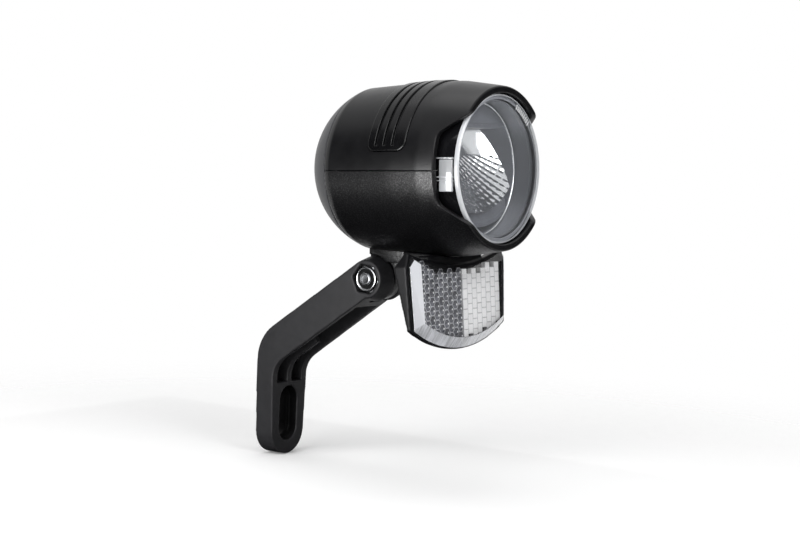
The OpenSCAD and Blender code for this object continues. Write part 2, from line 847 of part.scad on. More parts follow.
// Top view of the bracket, narrowing to the ears, grown outwards
module bracket_top(grow) {
    wide = plate_w + grow;
    thin = ear_half + grow;
    polygon([[-1, -wide], [plate_t + 0.4, -wide], [pivot_x, -thin], [pivot_x + BIG, -thin],
        [pivot_x + BIG, thin], [pivot_x, thin], [plate_t + 0.4, wide], [-1, wide]]);
}

// The open channel under the arm
module channel() {
    floor_v = ear_r - channel_wall;
    start = ear_clear_r + 1.6;
    intersection() {
        across(4 * plate_w) polygon(rounded([arm_pt(start, floor_v),
            arm_pt(arm_u(channel_wall, floor_v), floor_v), [channel_wall, pocket_low],
            [plate_t + arm_depth, pocket_low], arm_pt(start, -2 * arm_depth)],
            [1, outer_bend_r - channel_wall, 0, 0, 0]));
        translate([0, 0, -BIG / 2]) linear_extrude(height = BIG) bracket_top(-channel_wall);
    }
}

// A slot through the plate, from x over a length
module plate_slot(r, x, length) {
    for (end = [-1, 1]) translate([0, 0, end * slot_run / 2]) rod_x(r, x, length);
    translate([x, -r, -slot_run / 2]) cube([length, 2 * r, slot_run]);
}

// Places what is set out from the pivot in the bracket's frame
module at_hinge() {
    translate([pivot_x, 0, pivot_z]) children();
}

nut_play = 0.1;
nut_pocket = nut_h - 0.1;
head_h = 2.7;
head_r = 1.9 * bolt_r;
lug_near = lug_mid - lug_t / 2;
lug_far = lug_mid + lug_t / 2;

module bracket() {
    near_in = -ear_half + near_ear_t;
    far_in = ear_half - far_ear_t;
    color(BLACK) difference() {
        union() {
            difference() {
                intersection() {
                    across(4 * plate_w) bracket_side();
                    forward(BIG, -1) bracket_front();
                    translate([0, 0, -BIG / 2]) linear_extrude(height = BIG) bracket_top(0);
                }
                channel();
            }
            across(rib_t) intersection() {
                bracket_side();
                polygon([arm_pt(rib_start, ear_r), [-1, pivot_z], [-1, pocket_low - 1],
                    [plate_t + arm_depth, pocket_low - 1], arm_pt(rib_start + 1.5, arm_low - 1)]);
            }
            at_hinge() {
                translate([0, -ear_half, 0]) rotate([-90, 0, 0])
                    cylinder(r1 = ear_r, r2 = ear_r + ear_flare, h = near_ear_t, $fn = FINE);
                translate([0, ear_half, 0]) rotate([90, 0, 0])
                    cylinder(r1 = ear_r, r2 = ear_r + ear_flare, h = far_ear_t, $fn = FINE);
            }
        }
        at_hinge() {
            rod_y(ear_clear_r + fit, near_in, far_in - near_in);
            rod_y(bolt_r + 0.1, -BIG / 2, BIG);
            rod_y(head_r + fit, ear_half, head_h);
            rotate([0, 5, 0]) rod_y((nut_flats / 2 + nut_play) / cos(30), -ear_half - 1, nut_pocket + 1, 6);
        }
        plate_slot(slot_r, -1, plate_t + 2);
        plate_slot(counter_r, plate_t - counter_depth, counter_depth + 1);
    }
}

module pivot_bolt() {
    end = -ear_half + 0.6;
    color(CHROME) at_hinge() difference() {
        union() {
            rod_y(bolt_r, end, ear_half - end + touch);
            rod_y(head_r, ear_half + touch, head_h);
        }
        rod_y(0.66 * bolt_r / cos(30), ear_half + touch + 0.35 * head_h, head_h, 6);
    }
}

module pivot_nut() {
    hex_h = 0.66 * nut_h;
    seat = -ear_half + nut_pocket - touch;
    color(CHROME) at_hinge() difference() {
        union() {
            rotate([0, 5, 0]) rod_y(nut_flats / 2 / cos(30), seat - hex_h, hex_h, 6);
            rod_y(0.48 * nut_flats, seat - nut_h, nut_h);
        }
        rod_y(bolt_r + slip, -BIG / 2, BIG);
    }
}

module pivot_washers() {
    washer_r = lug_r - 0.8;
    color(CHROME) at_hinge() difference() {
        for (y = [lug_near - 2 * touch - washer_t, lug_far + 2 * touch]) rod_y(washer_r, y, washer_t);
        rod_y(bolt_r + slip, -BIG / 2, BIG);
    }
}

upper_shell();
lower_shell();
rear_cap();
rib_panel();
lens();
lens_seal();
mirror_bowl();
bezel();
led_emitter();
led_board();
heat_sink();
driver_board();
capacitor();
cable_terminal();
cap_seal();
cap_screws();
cable_grommet();
reflector_lens();
reflector_housing();
reflector_screw();
bracket();
pivot_bolt();
pivot_nut();
pivot_washers();
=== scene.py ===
"""Looks of a bicycle headlight that tilts on a fork bracket, with a reflector under its front."""
import json
from math import acos, asin, atan, atan2, cos, degrees, hypot, pi, radians, sin, sqrt, tan

import bmesh
import bpy
import numpy as np
from bpy.props import FloatProperty, FloatVectorProperty, IntProperty, PointerProperty
from mathutils import Matrix, Vector


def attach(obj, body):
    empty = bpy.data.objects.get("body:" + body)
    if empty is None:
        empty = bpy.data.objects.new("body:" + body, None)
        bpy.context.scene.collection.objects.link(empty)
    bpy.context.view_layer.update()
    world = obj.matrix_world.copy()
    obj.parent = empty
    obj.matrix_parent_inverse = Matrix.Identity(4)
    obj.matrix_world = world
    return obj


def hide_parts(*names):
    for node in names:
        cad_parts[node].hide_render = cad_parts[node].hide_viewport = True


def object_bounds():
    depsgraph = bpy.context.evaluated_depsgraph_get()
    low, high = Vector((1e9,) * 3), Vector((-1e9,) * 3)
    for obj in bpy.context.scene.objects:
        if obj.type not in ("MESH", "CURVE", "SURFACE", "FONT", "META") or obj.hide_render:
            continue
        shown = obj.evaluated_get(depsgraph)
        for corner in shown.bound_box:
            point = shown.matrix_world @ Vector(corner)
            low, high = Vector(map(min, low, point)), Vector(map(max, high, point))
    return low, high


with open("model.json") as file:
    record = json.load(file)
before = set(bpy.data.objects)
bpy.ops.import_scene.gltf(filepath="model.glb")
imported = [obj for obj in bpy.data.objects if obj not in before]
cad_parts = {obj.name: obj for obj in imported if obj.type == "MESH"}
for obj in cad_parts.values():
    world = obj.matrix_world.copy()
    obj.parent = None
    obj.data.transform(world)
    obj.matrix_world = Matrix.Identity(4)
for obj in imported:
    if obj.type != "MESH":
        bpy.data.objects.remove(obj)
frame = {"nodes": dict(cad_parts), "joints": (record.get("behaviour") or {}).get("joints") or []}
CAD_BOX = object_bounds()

bl_info = {
    "name": "Bicycle headlight",
    "version": (1, 0, 0),
    "blender": (4, 5, 0),
    "location": "View3D > Sidebar > Headlight",
    "description": "Dresses the headlight's solids with detailed pieces and finishes",
    "category": "Object",
}

MM = 0.001
PIVOT = Vector(frame["joints"][0]["pos_m"])
TILT = radians(3)

# Sizes of the solids, in mm. Places in the lamp are distances back from its front rim.
RIM_R, BARREL_R, TAIL_R = 23.7, 25.8, 24.1
CREASE, BARREL_LEN, SEAM = 15.8, 44.6, 46.8
TAIL_H = 17.4
BALL_R = (TAIL_R ** 2 + TAIL_H ** 2) / (2 * TAIL_H)
BALL_MID = BARREL_LEN + TAIL_H - BALL_R
WALL = 2.0
SPLIT, SEAM_GAP = -0.6, 0.14
RIM_AHEAD, AXIS_RISE = 44.2, 32.7
PANEL_FRONT, PANEL_REAR, PANEL_MID = 17.05, 30.45, 24.25
PANEL_LOW, PANEL_CORNER = 4.9, 2.6
LENS_R, LENS_IN_R, COAT_R, FLANGE_R = 21.5, 20.0, 21.2, 22.5
LENS_SET, LENS_DOME, LENS_FACE, FLANGE_FRONT, FLANGE_REAR = 1.3, 1.6, 1.7, 10.0, 11.4
BOWL_IN_R, BOWL_FRONT, BOWL_REAR, FOCAL, SHELF = 18.7, 9.1, 26.3, 11.0, 11.8
FACET_REAR, FACET_FOCAL = 22.4, 11.9
RETRO_TOP_W, RETRO_FOOT_W = 23.9, 22.8
RETRO_TIP, RETRO_DIP, RETRO_HIP, RETRO_FOOT = 13.0, 8.85, -7.8, -14.0
RETRO_BACK, RETRO_DROP, RETRO_LEAN = 15.8, 38, radians(2.6)

# Places: the lamp's front rim, the reflector's front plane and the pivot, each from mm to metres
LAMP = (Matrix.Translation(PIVOT) @ Matrix.Rotation(-TILT, 4, "Y") @ Matrix.Scale(MM, 4)
        @ Matrix.Translation((RIM_AHEAD, 0, AXIS_RISE)))
RETRO = LAMP @ Matrix.Translation((-RETRO_BACK, 0, -RETRO_DROP)) @ Matrix.Rotation(-RETRO_LEAN, 4, "Y")
LAMP_PIVOT = LAMP @ Matrix.Translation((-RIM_AHEAD, 0, -AXIS_RISE))


def length(name, description, default, low, high):
    """A size, in metres."""
    return FloatProperty(name=name, description=description, default=default, min=low, max=high,
                         unit="LENGTH", precision=5)


def paint(name, description, default):
    """A colour."""
    return FloatVectorProperty(name=name, description=description, default=default, size=3, min=0, max=1,
                               subtype="COLOR")


class HeadlightSizes(bpy.types.PropertyGroup):
    """Sizes that the looks add to the solids."""
    lip_round: length("Visor lip", "Rounding of the visor's front edge", 0.00055, 0.0002, 0.0009)
    crease_round: length("Crease", "How far the barrel's crease is rounded to each side",
                         0.0009, 0.0005, 0.004)
    groove_width: length("Groove width", "Width of a groove in the rib panel", 0.001, 0.0006, 0.0014)
    groove_depth: length("Groove depth", "Depth of a groove in the rib panel", 0.0007, 0.0003, 0.0009)
    facet_turn: FloatProperty(
        name="Facet angle", description="Angle between the mirror's rows of facets",
        default=radians(5), min=radians(3), max=radians(20), subtype="ANGLE")
    facet_run: length("Facet length", "Length of a mirror facet along its row", 0.0016, 0.001, 0.005)
    brick_width: length("Brick width", "Spacing of the columns of bright cells in the reflector",
                        0.00243, 0.0018, 0.004)
    brick_height: length("Brick height", "Height of a bright cell in the reflector", 0.00296, 0.0018, 0.004)
    prism_height: length("Prism height", "Height of a six-sided cell in the reflector",
                         0.00265, 0.0018, 0.004)
    seed: IntProperty(
        name="Seed", description="Fixed seed for the cells' small differences", default=7, min=0)


class HeadlightColours(bpy.types.PropertyGroup):
    """Colours that a user would change."""
    shell: paint("Shell", "Moulded plastic of the barrel and the housing", (0.0045, 0.0045, 0.0052))
    bracket: paint("Bracket", "Moulded plastic of the bracket", (0.021, 0.0208, 0.0227))
    cap: paint("Rear cap", "Moulded plastic of the rear cap", (0.042, 0.0425, 0.046))
    panel: paint("Rib panel", "Smooth plastic of the rib panel", (0.003, 0.003, 0.0035))
    mirror: paint("Mirror", "Metal coat of the mirror bowl", (0.84, 0.845, 0.855))
    # The bezel's satin grey also stands on the mirror bowl as a painted reflection
    bezel: paint("Bezel", "Satin coat of the bezel and the bowl's cheeks", (0.185, 0.192, 0.215))
    # The bright cells' near-white is a painted reflection of the light in clear prisms
    brick: paint("Bright cells", "Cells of the reflector that face the light", (0.955, 0.956, 0.958))


def sizes():
    return bpy.context.scene.headlight_sizes


def colours():
    return bpy.context.scene.headlight_colours


# Shader and geometry nodes

def arithmetic(operation, swapped=False):
    """A method that adds a Math node for an operation of two terms."""
    def method(self, other):
        return self.math(operation, other, self) if swapped else self.math(operation, self, other)
    return method


class Wire:
    """A socket that joins in plain arithmetic: each operation adds a Math node to its tree."""

    def __init__(self, net, socket):
        self.net = net
        self.socket = socket

    def math(self, operation, *terms):
        return self.net.node("ShaderNodeMath", {"operation": operation}, dict(enumerate(terms)))

    __add__ = arithmetic("ADD")
    __radd__ = arithmetic("ADD", swapped=True)
    __sub__ = arithmetic("SUBTRACT")
    __rsub__ = arithmetic("SUBTRACT", swapped=True)
    __mul__ = arithmetic("MULTIPLY")
    __rmul__ = arithmetic("MULTIPLY", swapped=True)
    __truediv__ = arithmetic("DIVIDE")
    __rtruediv__ = arithmetic("DIVIDE", swapped=True)
    __pow__ = arithmetic("POWER")
    __rpow__ = arithmetic("POWER", swapped=True)
    __gt__ = arithmetic("GREATER_THAN")
    __lt__ = arithmetic("LESS_THAN")

    def __abs__(self):
        return self.math("ABSOLUTE", self)


class Net:
    """A node tree that grows one node at a time."""

    def __init__(self, tree):
        self.tree = tree

    def node(self, kind, settings=None, inputs=None, out=0):
        """Adds a node of a kind, gives it its settings, then its sockets' values or links."""
        made = self.tree.nodes.new(kind)
        for key, value in (settings or {}).items():
            setattr(made, key, value)
        for key, value in (inputs or {}).items():
            if isinstance(value, Wire):
                self.tree.links.new(value.socket, made.inputs[key])
            else:
                made.inputs[key].default_value = value
        return Wire(self, made.outputs[out]) if made.outputs else made

    def blend(self, factor, low, high):
        """A colour between two, by a factor."""
        return self.node("ShaderNodeMix", {"data_type": "RGBA"}, {0: factor, 6: low, 7: high}, 2)


def rgba(colour, gain=1.0):
    return (*(min(1.0, c * gain) for c in colour), 1.0)


class Finish(Net):
    """A material with its nodes, read in the object's own coordinates in mm."""

    def __init__(self, name):
        self.material = bpy.data.materials.new(name)
        self.material.use_nodes = True
        super().__init__(self.material.node_tree)
        self.tree.nodes.clear()
        self.place = self.node("ShaderNodeVectorMath", {"operation": "SCALE"}, {
            0: self.node("ShaderNodeTexCoord", out="Object"), "Scale": 1 / MM})

    def noise(self, scale, detail=2.0, stretch=None):
        """Noise of about that many features in each mm, stretched along the axes."""
        at = self.place
        if stretch:
            at = self.node("ShaderNodeVectorMath", {"operation": "MULTIPLY"}, {0: at, 1: stretch})
        return self.node("ShaderNodeTexNoise", None, {"Vector": at, "Scale": scale, "Detail": detail})

    def grain(self, scale):
        """Small rounded cells of a spark-eroded mould."""
        return self.node("ShaderNodeTexVoronoi", {"feature": "SMOOTH_F1"},
                         {"Vector": self.place, "Scale": scale, "Smoothness": 0.6})

    def bump(self, height, strength, distance):
        """A normal from a height, where distance is in mm."""
        return self.node("ShaderNodeBump", None,
                         {"Strength": strength, "Distance": distance * MM, "Height": height})

    def principled(self, **inputs):
        return self.node("ShaderNodeBsdfPrincipled", None,
                         {k.replace("_", " "): v for k, v in inputs.items()})

    def close(self, shader):
        self.node("ShaderNodeOutputMaterial", None, {"Surface": shader})
        return self.material


def moulded(name, colour, rough, grain, depth, specular=0.3, speck=0.25, glints=0.0):
    """Moulded plastic with a fine grain, uneven gloss, a faint mottle and, if asked for, glossy specks."""
    f = Finish(name)
    mottle = f.noise(0.35, 4.0)
    fine = f.noise(grain * 1.7, 3.0)
    cells = f.grain(grain)
    height = cells * 0.7 + fine * 0.5
    tone = f.blend(mottle * (1 - speck) + fine * speck, rgba(colour, 0.72), rgba(colour, 1.3))
    specks = 0.0
    if glints:
        above = f.noise(3.1, 1.0) - 0.46
        specks = above.math("MAXIMUM", above, 0.0) * glints
    shader = f.principled(
        Base_Color=tone,
        Roughness=(mottle - 0.5) * 0.12 + (fine - 0.5) * 0.1 + rough,
        Coat_Weight=specks,
        Coat_Roughness=0.3,
        Specular_IOR_Level=specular,
        Normal=f.bump(height, 0.55, depth))
    return f.close(shader)


def metal(name, colour, rough, brush=None, scratch=0.06):
    """Bare or plated metal with hairlines along one way."""
    f = Finish(name)
    lines = f.noise(3.0, 5.0, brush or (1, 1, 1))
    cloud = f.noise(0.4, 3.0)
    shader = f.principled(
        Base_Color=f.blend(cloud, rgba(colour, 0.88), rgba(colour, 1.06)),
        Metallic=1.0,
        Roughness=(lines - 0.5) * scratch * 2 + (cloud - 0.5) * scratch + rough,
        Normal=f.bump(lines, 0.25, 0.01))
    return f.close(shader)


def rubber(name, colour):
    f = Finish(name)
    dust = f.noise(1.2, 5.0)
    fine = f.noise(9.0, 2.0)
    shader = f.principled(
        Base_Color=f.blend(dust, rgba(colour, 0.7), rgba(colour, 1.5)),
        Roughness=(dust - 0.5) * 0.15 + 0.72,
        Normal=f.bump(fine, 0.3, 0.02))
    return f.close(shader)


def clear(name, tint, haze, gloss=0.03):
    """Clear plastic: light goes straight through, with a haze and a gloss that grows at a slant."""
    f = Finish(name)
    waves = f.noise(0.5, 2.0)
    through = f.node("ShaderNodeBsdfTransparent", None, {"Color": rgba(tint)})
    milk = f.principled(Base_Color=rgba((0.9, 0.92, 0.95)), Roughness=0.25)
    body = f.node("ShaderNodeMixShader", None, {0: haze, 1: through, 2: milk})
    shine = f.node("ShaderNodeBsdfGlossy", None, {
        "Color": (1, 1, 1, 1), "Roughness": gloss, "Normal": f.bump(waves, 0.05, 0.05)})
    facing = f.node("ShaderNodeLayerWeight", None, {"Blend": 0.5}, "Facing")
    return f.close(f.node("ShaderNodeMixShader", None, {0: facing ** 5 * 0.9 + 0.04, 1: body, 2: shine}))


# Meshes

def box_mesh(name, xs, ys, zs):
    """A block between two places along each axis."""
    points = [(x, y, z) for x in xs for y in ys for z in zs]
    return tidy(new_mesh(name, points, [(0, 1, 3, 2), (4, 6, 7, 5), (0, 4, 5, 1), (2, 3, 7, 6), (0, 2, 6, 4),
                                        (1, 5, 7, 3)]))


def grid_faces(columns, rows, wrap_columns=False, wrap_rows=False):
    """Quads between the points of a grid that is numbered column by column."""
    faces = []
    for i in range(columns if wrap_columns else columns - 1):
        for j in range(rows if wrap_rows else rows - 1):
            k, m = (i + 1) % columns, (j + 1) % rows
            faces.append((i * rows + j, k * rows + j, k * rows + m, i * rows + m))
    return faces


def slab_faces(columns, rows):
    """Faces of a closed slab between two grids, where the second is numbered after the first."""
    n = columns * rows
    faces = grid_faces(columns, rows)
    faces += [tuple(n + i for i in reversed(f)) for f in faces]
    rim = [i * rows for i in range(columns)] + [(columns - 1) * rows + j for j in range(1, rows)]
    rim += [i * rows + rows - 1 for i in reversed(range(columns - 1))]
    rim += reversed(range(1, rows - 1))
    return faces + [(a, b, n + b, n + a) for a, b in zip(rim, rim[1:] + rim[:1])]


def tidy(mesh, place=None, outward=True, merge=1e-4):
    """Merges doubles, drops faces with no area, turns faces outwards and puts the mesh in place."""
    bm = bmesh.new()
    bm.from_mesh(mesh)
    bmesh.ops.remove_doubles(bm, verts=bm.verts, dist=merge)
    bmesh.ops.dissolve_degenerate(bm, edges=bm.edges, dist=merge)
    if outward:
        bmesh.ops.recalc_face_normals(bm, faces=bm.faces)
    bm.to_mesh(mesh)
    bm.free()
    if place is not None:
        mesh.transform(place)
    return mesh


def new_mesh(name, points, faces):
    mesh = bpy.data.meshes.new(name)
    mesh.from_pydata([tuple(map(float, p)) for p in points], [], faces)
    return mesh


def added(name, data):
    """A new object in the scene."""
    obj = bpy.data.objects.new(name, data)
    bpy.context.scene.collection.objects.link(obj)
    return obj


def final_mesh(obj):
    """The mesh that an object's modifiers give, in place of the object."""
    mesh = bpy.data.meshes.new_from_object(obj.evaluated_get(bpy.context.evaluated_depsgraph_get()))
    bpy.data.objects.remove(obj)
    return mesh


def piece(name, mesh, finishes, body, stands_for=(), sharp=35):
    """Makes a mesh a finished piece of the object, on its body."""
    if not mesh.polygons:
        raise RuntimeError(f"{name} has no faces")
    for finish in finishes:
        if finish.name not in mesh.materials:
            mesh.materials.append(finish)
    mesh.shade_smooth()
    if sharp:
        mesh.set_sharp_from_angle(angle=radians(sharp))
    obj = added(name, mesh)
    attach(obj, body)
    if stands_for:
        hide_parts(*stands_for)
    return obj


def dress(node, finish):
    """Gives a solid that keeps its shape a finish."""
    mesh = frame["nodes"][node].data
    mesh.materials.clear()
    mesh.materials.append(finish)


def evaluated(mesh, *modifiers):
    """The mesh after modifiers, each as (type, settings)."""
    obj = added("working", mesh)
    for kind, settings in modifiers:
        made = obj.modifiers.new(kind.title(), kind)
        for key, value in settings.items():
            setattr(made, key, value)
    return final_mesh(obj)


def solid_copy(node):
    """A copy of a solid's mesh with its triangles joined."""
    mesh = frame["nodes"][node].data.copy()
    mesh.materials.clear()
    return tidy(mesh, outward=False, merge=1e-7)


def softened(node, cell, passes):
    """A copy of a solid with its edges rounded, as a mould leaves them."""
    return evaluated(solid_copy(node), ("REMESH", {"mode": "VOXEL", "voxel_size": cell * MM}),
                     ("SMOOTH", {"factor": 0.5, "iterations": passes}))


def soft_piece(name, node, cell, passes, finish, body):
    """A piece that stands for a solid, with its edges rounded."""
    piece(name, softened(node, cell, passes), [finish], body, [node], sharp=0)


def lathe(profile, columns):
    """Points and faces of a closed profile of (back, radius) turned about the lamp's axis."""
    turn = np.linspace(0, 2 * pi, columns, endpoint=False)
    points = [(-s, r * cos(a), r * sin(a)) for a in turn for s, r in profile]
    return points, grid_faces(columns, len(profile), True, True)


def turned(name, profile, columns=96):
    """A closed profile of (place, radius) turned about the pivot."""
    points = [(r * cos(a), y, r * sin(a)) for a in np.linspace(0, 2 * pi, columns, endpoint=False)
              for y, r in profile]
    return tidy(new_mesh(name, points, grid_faces(columns, len(profile), True, True)))


def arc(centre, radius, start, end, steps):
    return [(centre[0] + radius * cos(a), centre[1] + radius * sin(a))
            for a in np.linspace(radians(start), radians(end), steps + 1)]


def corner(p, a, b, radius, steps=14):
    """The corner at p between its neighbours a and b, rounded."""
    p, a, b = (np.array(v, float) for v in (p, a, b))
    u, v = (a - p) / np.linalg.norm(a - p), (b - p) / np.linalg.norm(b - p)
    half = acos(float(u @ v)) / 2
    middle = p + (u + v) / np.linalg.norm(u + v) * radius / sin(half)
    start, end = p + u * radius / tan(half) - middle, p + v * radius / tan(half) - middle
    a0 = atan2(start[1], start[0])
    swing = (degrees(atan2(end[1], end[0]) - a0) + 540) % 360 - 180
    return arc(middle, radius, degrees(a0), degrees(a0) + swing, steps)


# The lamp

def soft_min(a, b, reach):
    """The lesser of two, blended where they differ by less than reach."""
    h = max(reach - abs(a - b), 0) / reach
    return min(a, b) - h * h * reach / 4


def barrel_radius(back):
    """Radius of the barrel's outside at a distance behind its rim, with its creases rounded."""
    front_slope = (BARREL_R - RIM_R) / CREASE
    rear_slope = (TAIL_R - BARREL_R) / (BARREL_LEN - CREASE)
    r = soft_min(BARREL_R + front_slope * (back - CREASE), BARREL_R + rear_slope * (back - CREASE),
                 (front_slope - rear_slope) * sizes().crease_round / MM)
    ball = sqrt(max(0, BALL_R ** 2 - (back - BALL_MID) ** 2)) if back > BALL_MID else BALL_R
    return soft_min(r, ball, 0.12)


def visor_profile():
    """The visor's front edge, as heights and distances behind the rim."""
    mouth, floor = (0, 15.4), (7.6, 9.8)
    line = [(0, 40)] + corner(mouth, (0, 40), floor, 2.4) + corner(floor, mouth, (7.6, 0), 3)
    line.append((7.6, -1))
    line = sorted((z, s) for s, z in line)
    return [z for z, s in line], [s for z, s in line]


def panel_inset(z, grow):
    """How far the rib panel's sides draw in at a height, round its lower corners."""
    over = PANEL_LOW + PANEL_CORNER - z
    r = PANEL_CORNER + grow
    return 0.0 if over <= 0 else r - sqrt(max(0, r * r - min(over, r) ** 2))


def shell_half(name, upper):
    """One half of the barrel as a closed shell, with the visor's cut-outs in its front edge."""
    heights, backs = visor_profile()
    lip = sizes().lip_round / MM
    level = SPLIT + (SEAM_GAP / 2 if upper else -SEAM_GAP / 2)
    edge_r = barrel_radius(24)
    low = asin((PANEL_LOW - SEAM_GAP) / edge_r)
    broken, last_in = 0.13, 9.2
    turns = set(np.linspace(0, 1, 241)) | {0.0018, 1 - 0.0018}
    if upper:
        start = asin(level / edge_r)
        at = (low - start) / (pi - 2 * start)
        turns = {t for t in turns if min(abs(t - at), abs(1 - t - at)) > 0.001}
        turns |= {at, at + 1e-5, 1 - at, 1 - at - 1e-5}
    turns = sorted(turns)
    crease = list(np.linspace(CREASE - 2, CREASE + 1.0, 16))
    rear = [32, 34, 36, 38, 40, 42, 43.4, 44.0, 44.3, 44.6, 44.9, 45.2, 45.8, SEAM - 0.25]
    columns = []
    for t in turns:
        loop = []
        drop = broken if t in (0.0, 1.0) else 0.0

        def skin(back):
            return barrel_radius(back) - drop

        def bearing(r):
            begin = asin(level / r)
            return begin + t * (pi - 2 * begin) if upper else pi - begin + t * (pi + 2 * begin)

        def add(back, r):
            loop.append((-back, r * cos(bearing(r)), r * sin(bearing(r))))

        def front(r):
            return float(np.interp(abs(r * sin(bearing(r))), heights, backs))

        outer = front(RIM_R)
        for _ in range(3):
            outer = front(barrel_radius(outer))
        r_out = skin(outer)
        inner = 0.35
        for k in range(5):
            a = k / 5 * pi / 2
            r = r_out - WALL + inner - inner * cos(a)
            add(front(r) + inner - inner * sin(a), r)
        for k in range(6):
            a = pi / 2 - k / 5 * pi / 2
            r = r_out - lip + lip * cos(a)
            add(front(r) + lip - lip * sin(a), r)
        begin = outer + lip
        for k in range(1, 9):
            back = begin + (CREASE - 2 - begin) * k / 9
            add(back, skin(back))
        for back in crease:
            add(back, skin(back))
        start = asin(level / edge_r)
        height = edge_r * sin(start + t * (pi - 2 * start)) if upper else -1
        sunk = upper and height > PANEL_LOW - SEAM_GAP + 1e-4
        inset = panel_inset(height, SEAM_GAP) if sunk else (PANEL_CORNER if upper else 0)
        first, last = PANEL_FRONT - SEAM_GAP + inset, PANEL_REAR + SEAM_GAP - inset
        deep = 1.0 if sunk else 0.0
        add(first, skin(first))
        for k in range(13):
            back = first + 1e-3 + (last - first - 2e-3) * k / 12
            add(back, skin(back) - deep)
        add(last, skin(last))
        for back in rear:
            add(back, skin(back))
        add(SEAM - 0.1, skin(SEAM - 0.1) - 0.05)
        add(SEAM, skin(SEAM) - 0.18)
        # Inside from the rear: the wall, with a ring behind the bowl and one behind the lens
        inside = [(SEAM, 0), (44.6, 0), (40, 0), (31.7, 0), (31.7, 19.3), (30.4, 19.3), (30.4, 0), (24, 0),
                  (18, 0), (CREASE, 0), (13.8, 0), (13.8, 20.3), (12, 20.3), (12, 0), (10.5, 0), (last_in, 0)]
        for back, r in inside:
            add(back, r or barrel_radius(back) - WALL)
        first_in = front(r_out - WALL) + inner
        for k in range(1, 5):
            back = last_in + (first_in - last_in) * k / 4.6
            add(back, barrel_radius(back) - WALL)
        columns.append(loop)
    rows = len(columns[0])
    points = [p for loop in columns for p in loop]
    faces = grid_faces(len(columns), rows, False, True)
    faces.append(tuple(range(rows)))
    faces.append(tuple((len(columns) - 1) * rows + j for j in reversed(range(rows))))
    return tidy(new_mesh(name, points, faces), LAMP, merge=2e-5)


def prism(outline, y, width, round_off):
    """A block with an outline in X and Z about the pivot, its edges rounded."""
    n = len(outline)
    points = [(x, y + side * width / 2, z) for side in (-1, 1) for x, z in outline]
    faces = [tuple(range(n)), tuple(reversed(range(n, 2 * n)))]
    faces += [(i, (i + 1) % n, n + (i + 1) % n, n + i) for i in range(n)]
    mesh = tidy(new_mesh("prism", points, faces))
    bm = bmesh.new()
    bm.from_mesh(mesh)
    sharp = [e for e in bm.edges if len(e.link_faces) == 2 and e.calc_face_angle() > radians(30)]
    bmesh.ops.bevel(bm, geom=sharp, offset=round_off, segments=3, profile=0.5, affect="EDGES",
                    clamp_overlap=True)
    bm.to_mesh(mesh)
    bm.free()
    return mesh


def joined(name, *meshes):
    bm = bmesh.new()
    for mesh in meshes:
        bm.from_mesh(mesh)
    made = bpy.data.meshes.new(name)
    bm.to_mesh(made)
    bm.free()
    return made


class HEADLIGHT_OT_shells(bpy.types.Operator):
    """Both halves of the barrel with the visor, and the neck with the lug under them"""
    bl_idname = "headlight.shells"
    bl_label = "Shells and neck"

    def execute(self, context):
        satin = moulded("satin_black", colours().shell, 0.33, 7.0, 0.008, 0.18)
        finish = moulded("grained_black", colours().shell, 0.34, 2.9, 0.05, 0.145, 0.6, 2.2)
        piece("upper_half", shell_half("upper_half", True), [satin], "lamp", ["upper_shell"])
        lug_r, neck_r, step, reach = 6.3, 7.3, 5, 10.2
        front, rear, lug_rear = 11.4, -0.9, -2.6
        lug = arc((0, 0), lug_r, 150, 355, 30)
        lug += [(front, step), (11.9, reach), (lug_rear, reach), (lug_rear, lug_r)]
        cut = asin(step / neck_r)
        neck = [(neck_r * cos(cut), step), (front, step), (12.2, reach), (rear, reach)]
        neck += [(neck_r * cos(a), neck_r * sin(a)) for a in np.linspace(acos(rear / neck_r), cut, 14)[:-1]]
        blocks = [prism(lug, 0.7, 3.75, 0.3), prism(neck, 0, 8, 0.3)]
        for block in blocks:
            block.transform(LAMP_PIVOT)
        lower = joined("lower_half", shell_half("lower_half", False), *blocks)
        piece("lower_half", lower, [finish], "lamp", ["lower_shell"])
        return {"FINISHED"}


class HEADLIGHT_OT_rear_cap(bpy.types.Operator):
    """Rounded cap on the tail, with the screws' recesses and the cable's inlet"""
    bl_idname = "headlight.rear_cap"
    bl_label = "Rear cap"

    def execute(self, context):
        finish = moulded("satin_grey", colours().cap, 0.42, 5.0, 0.02, 0.2)
        soft_piece("tail_cap", "rear_cap", 0.3, 6, finish, "lamp")
        return {"FINISHED"}


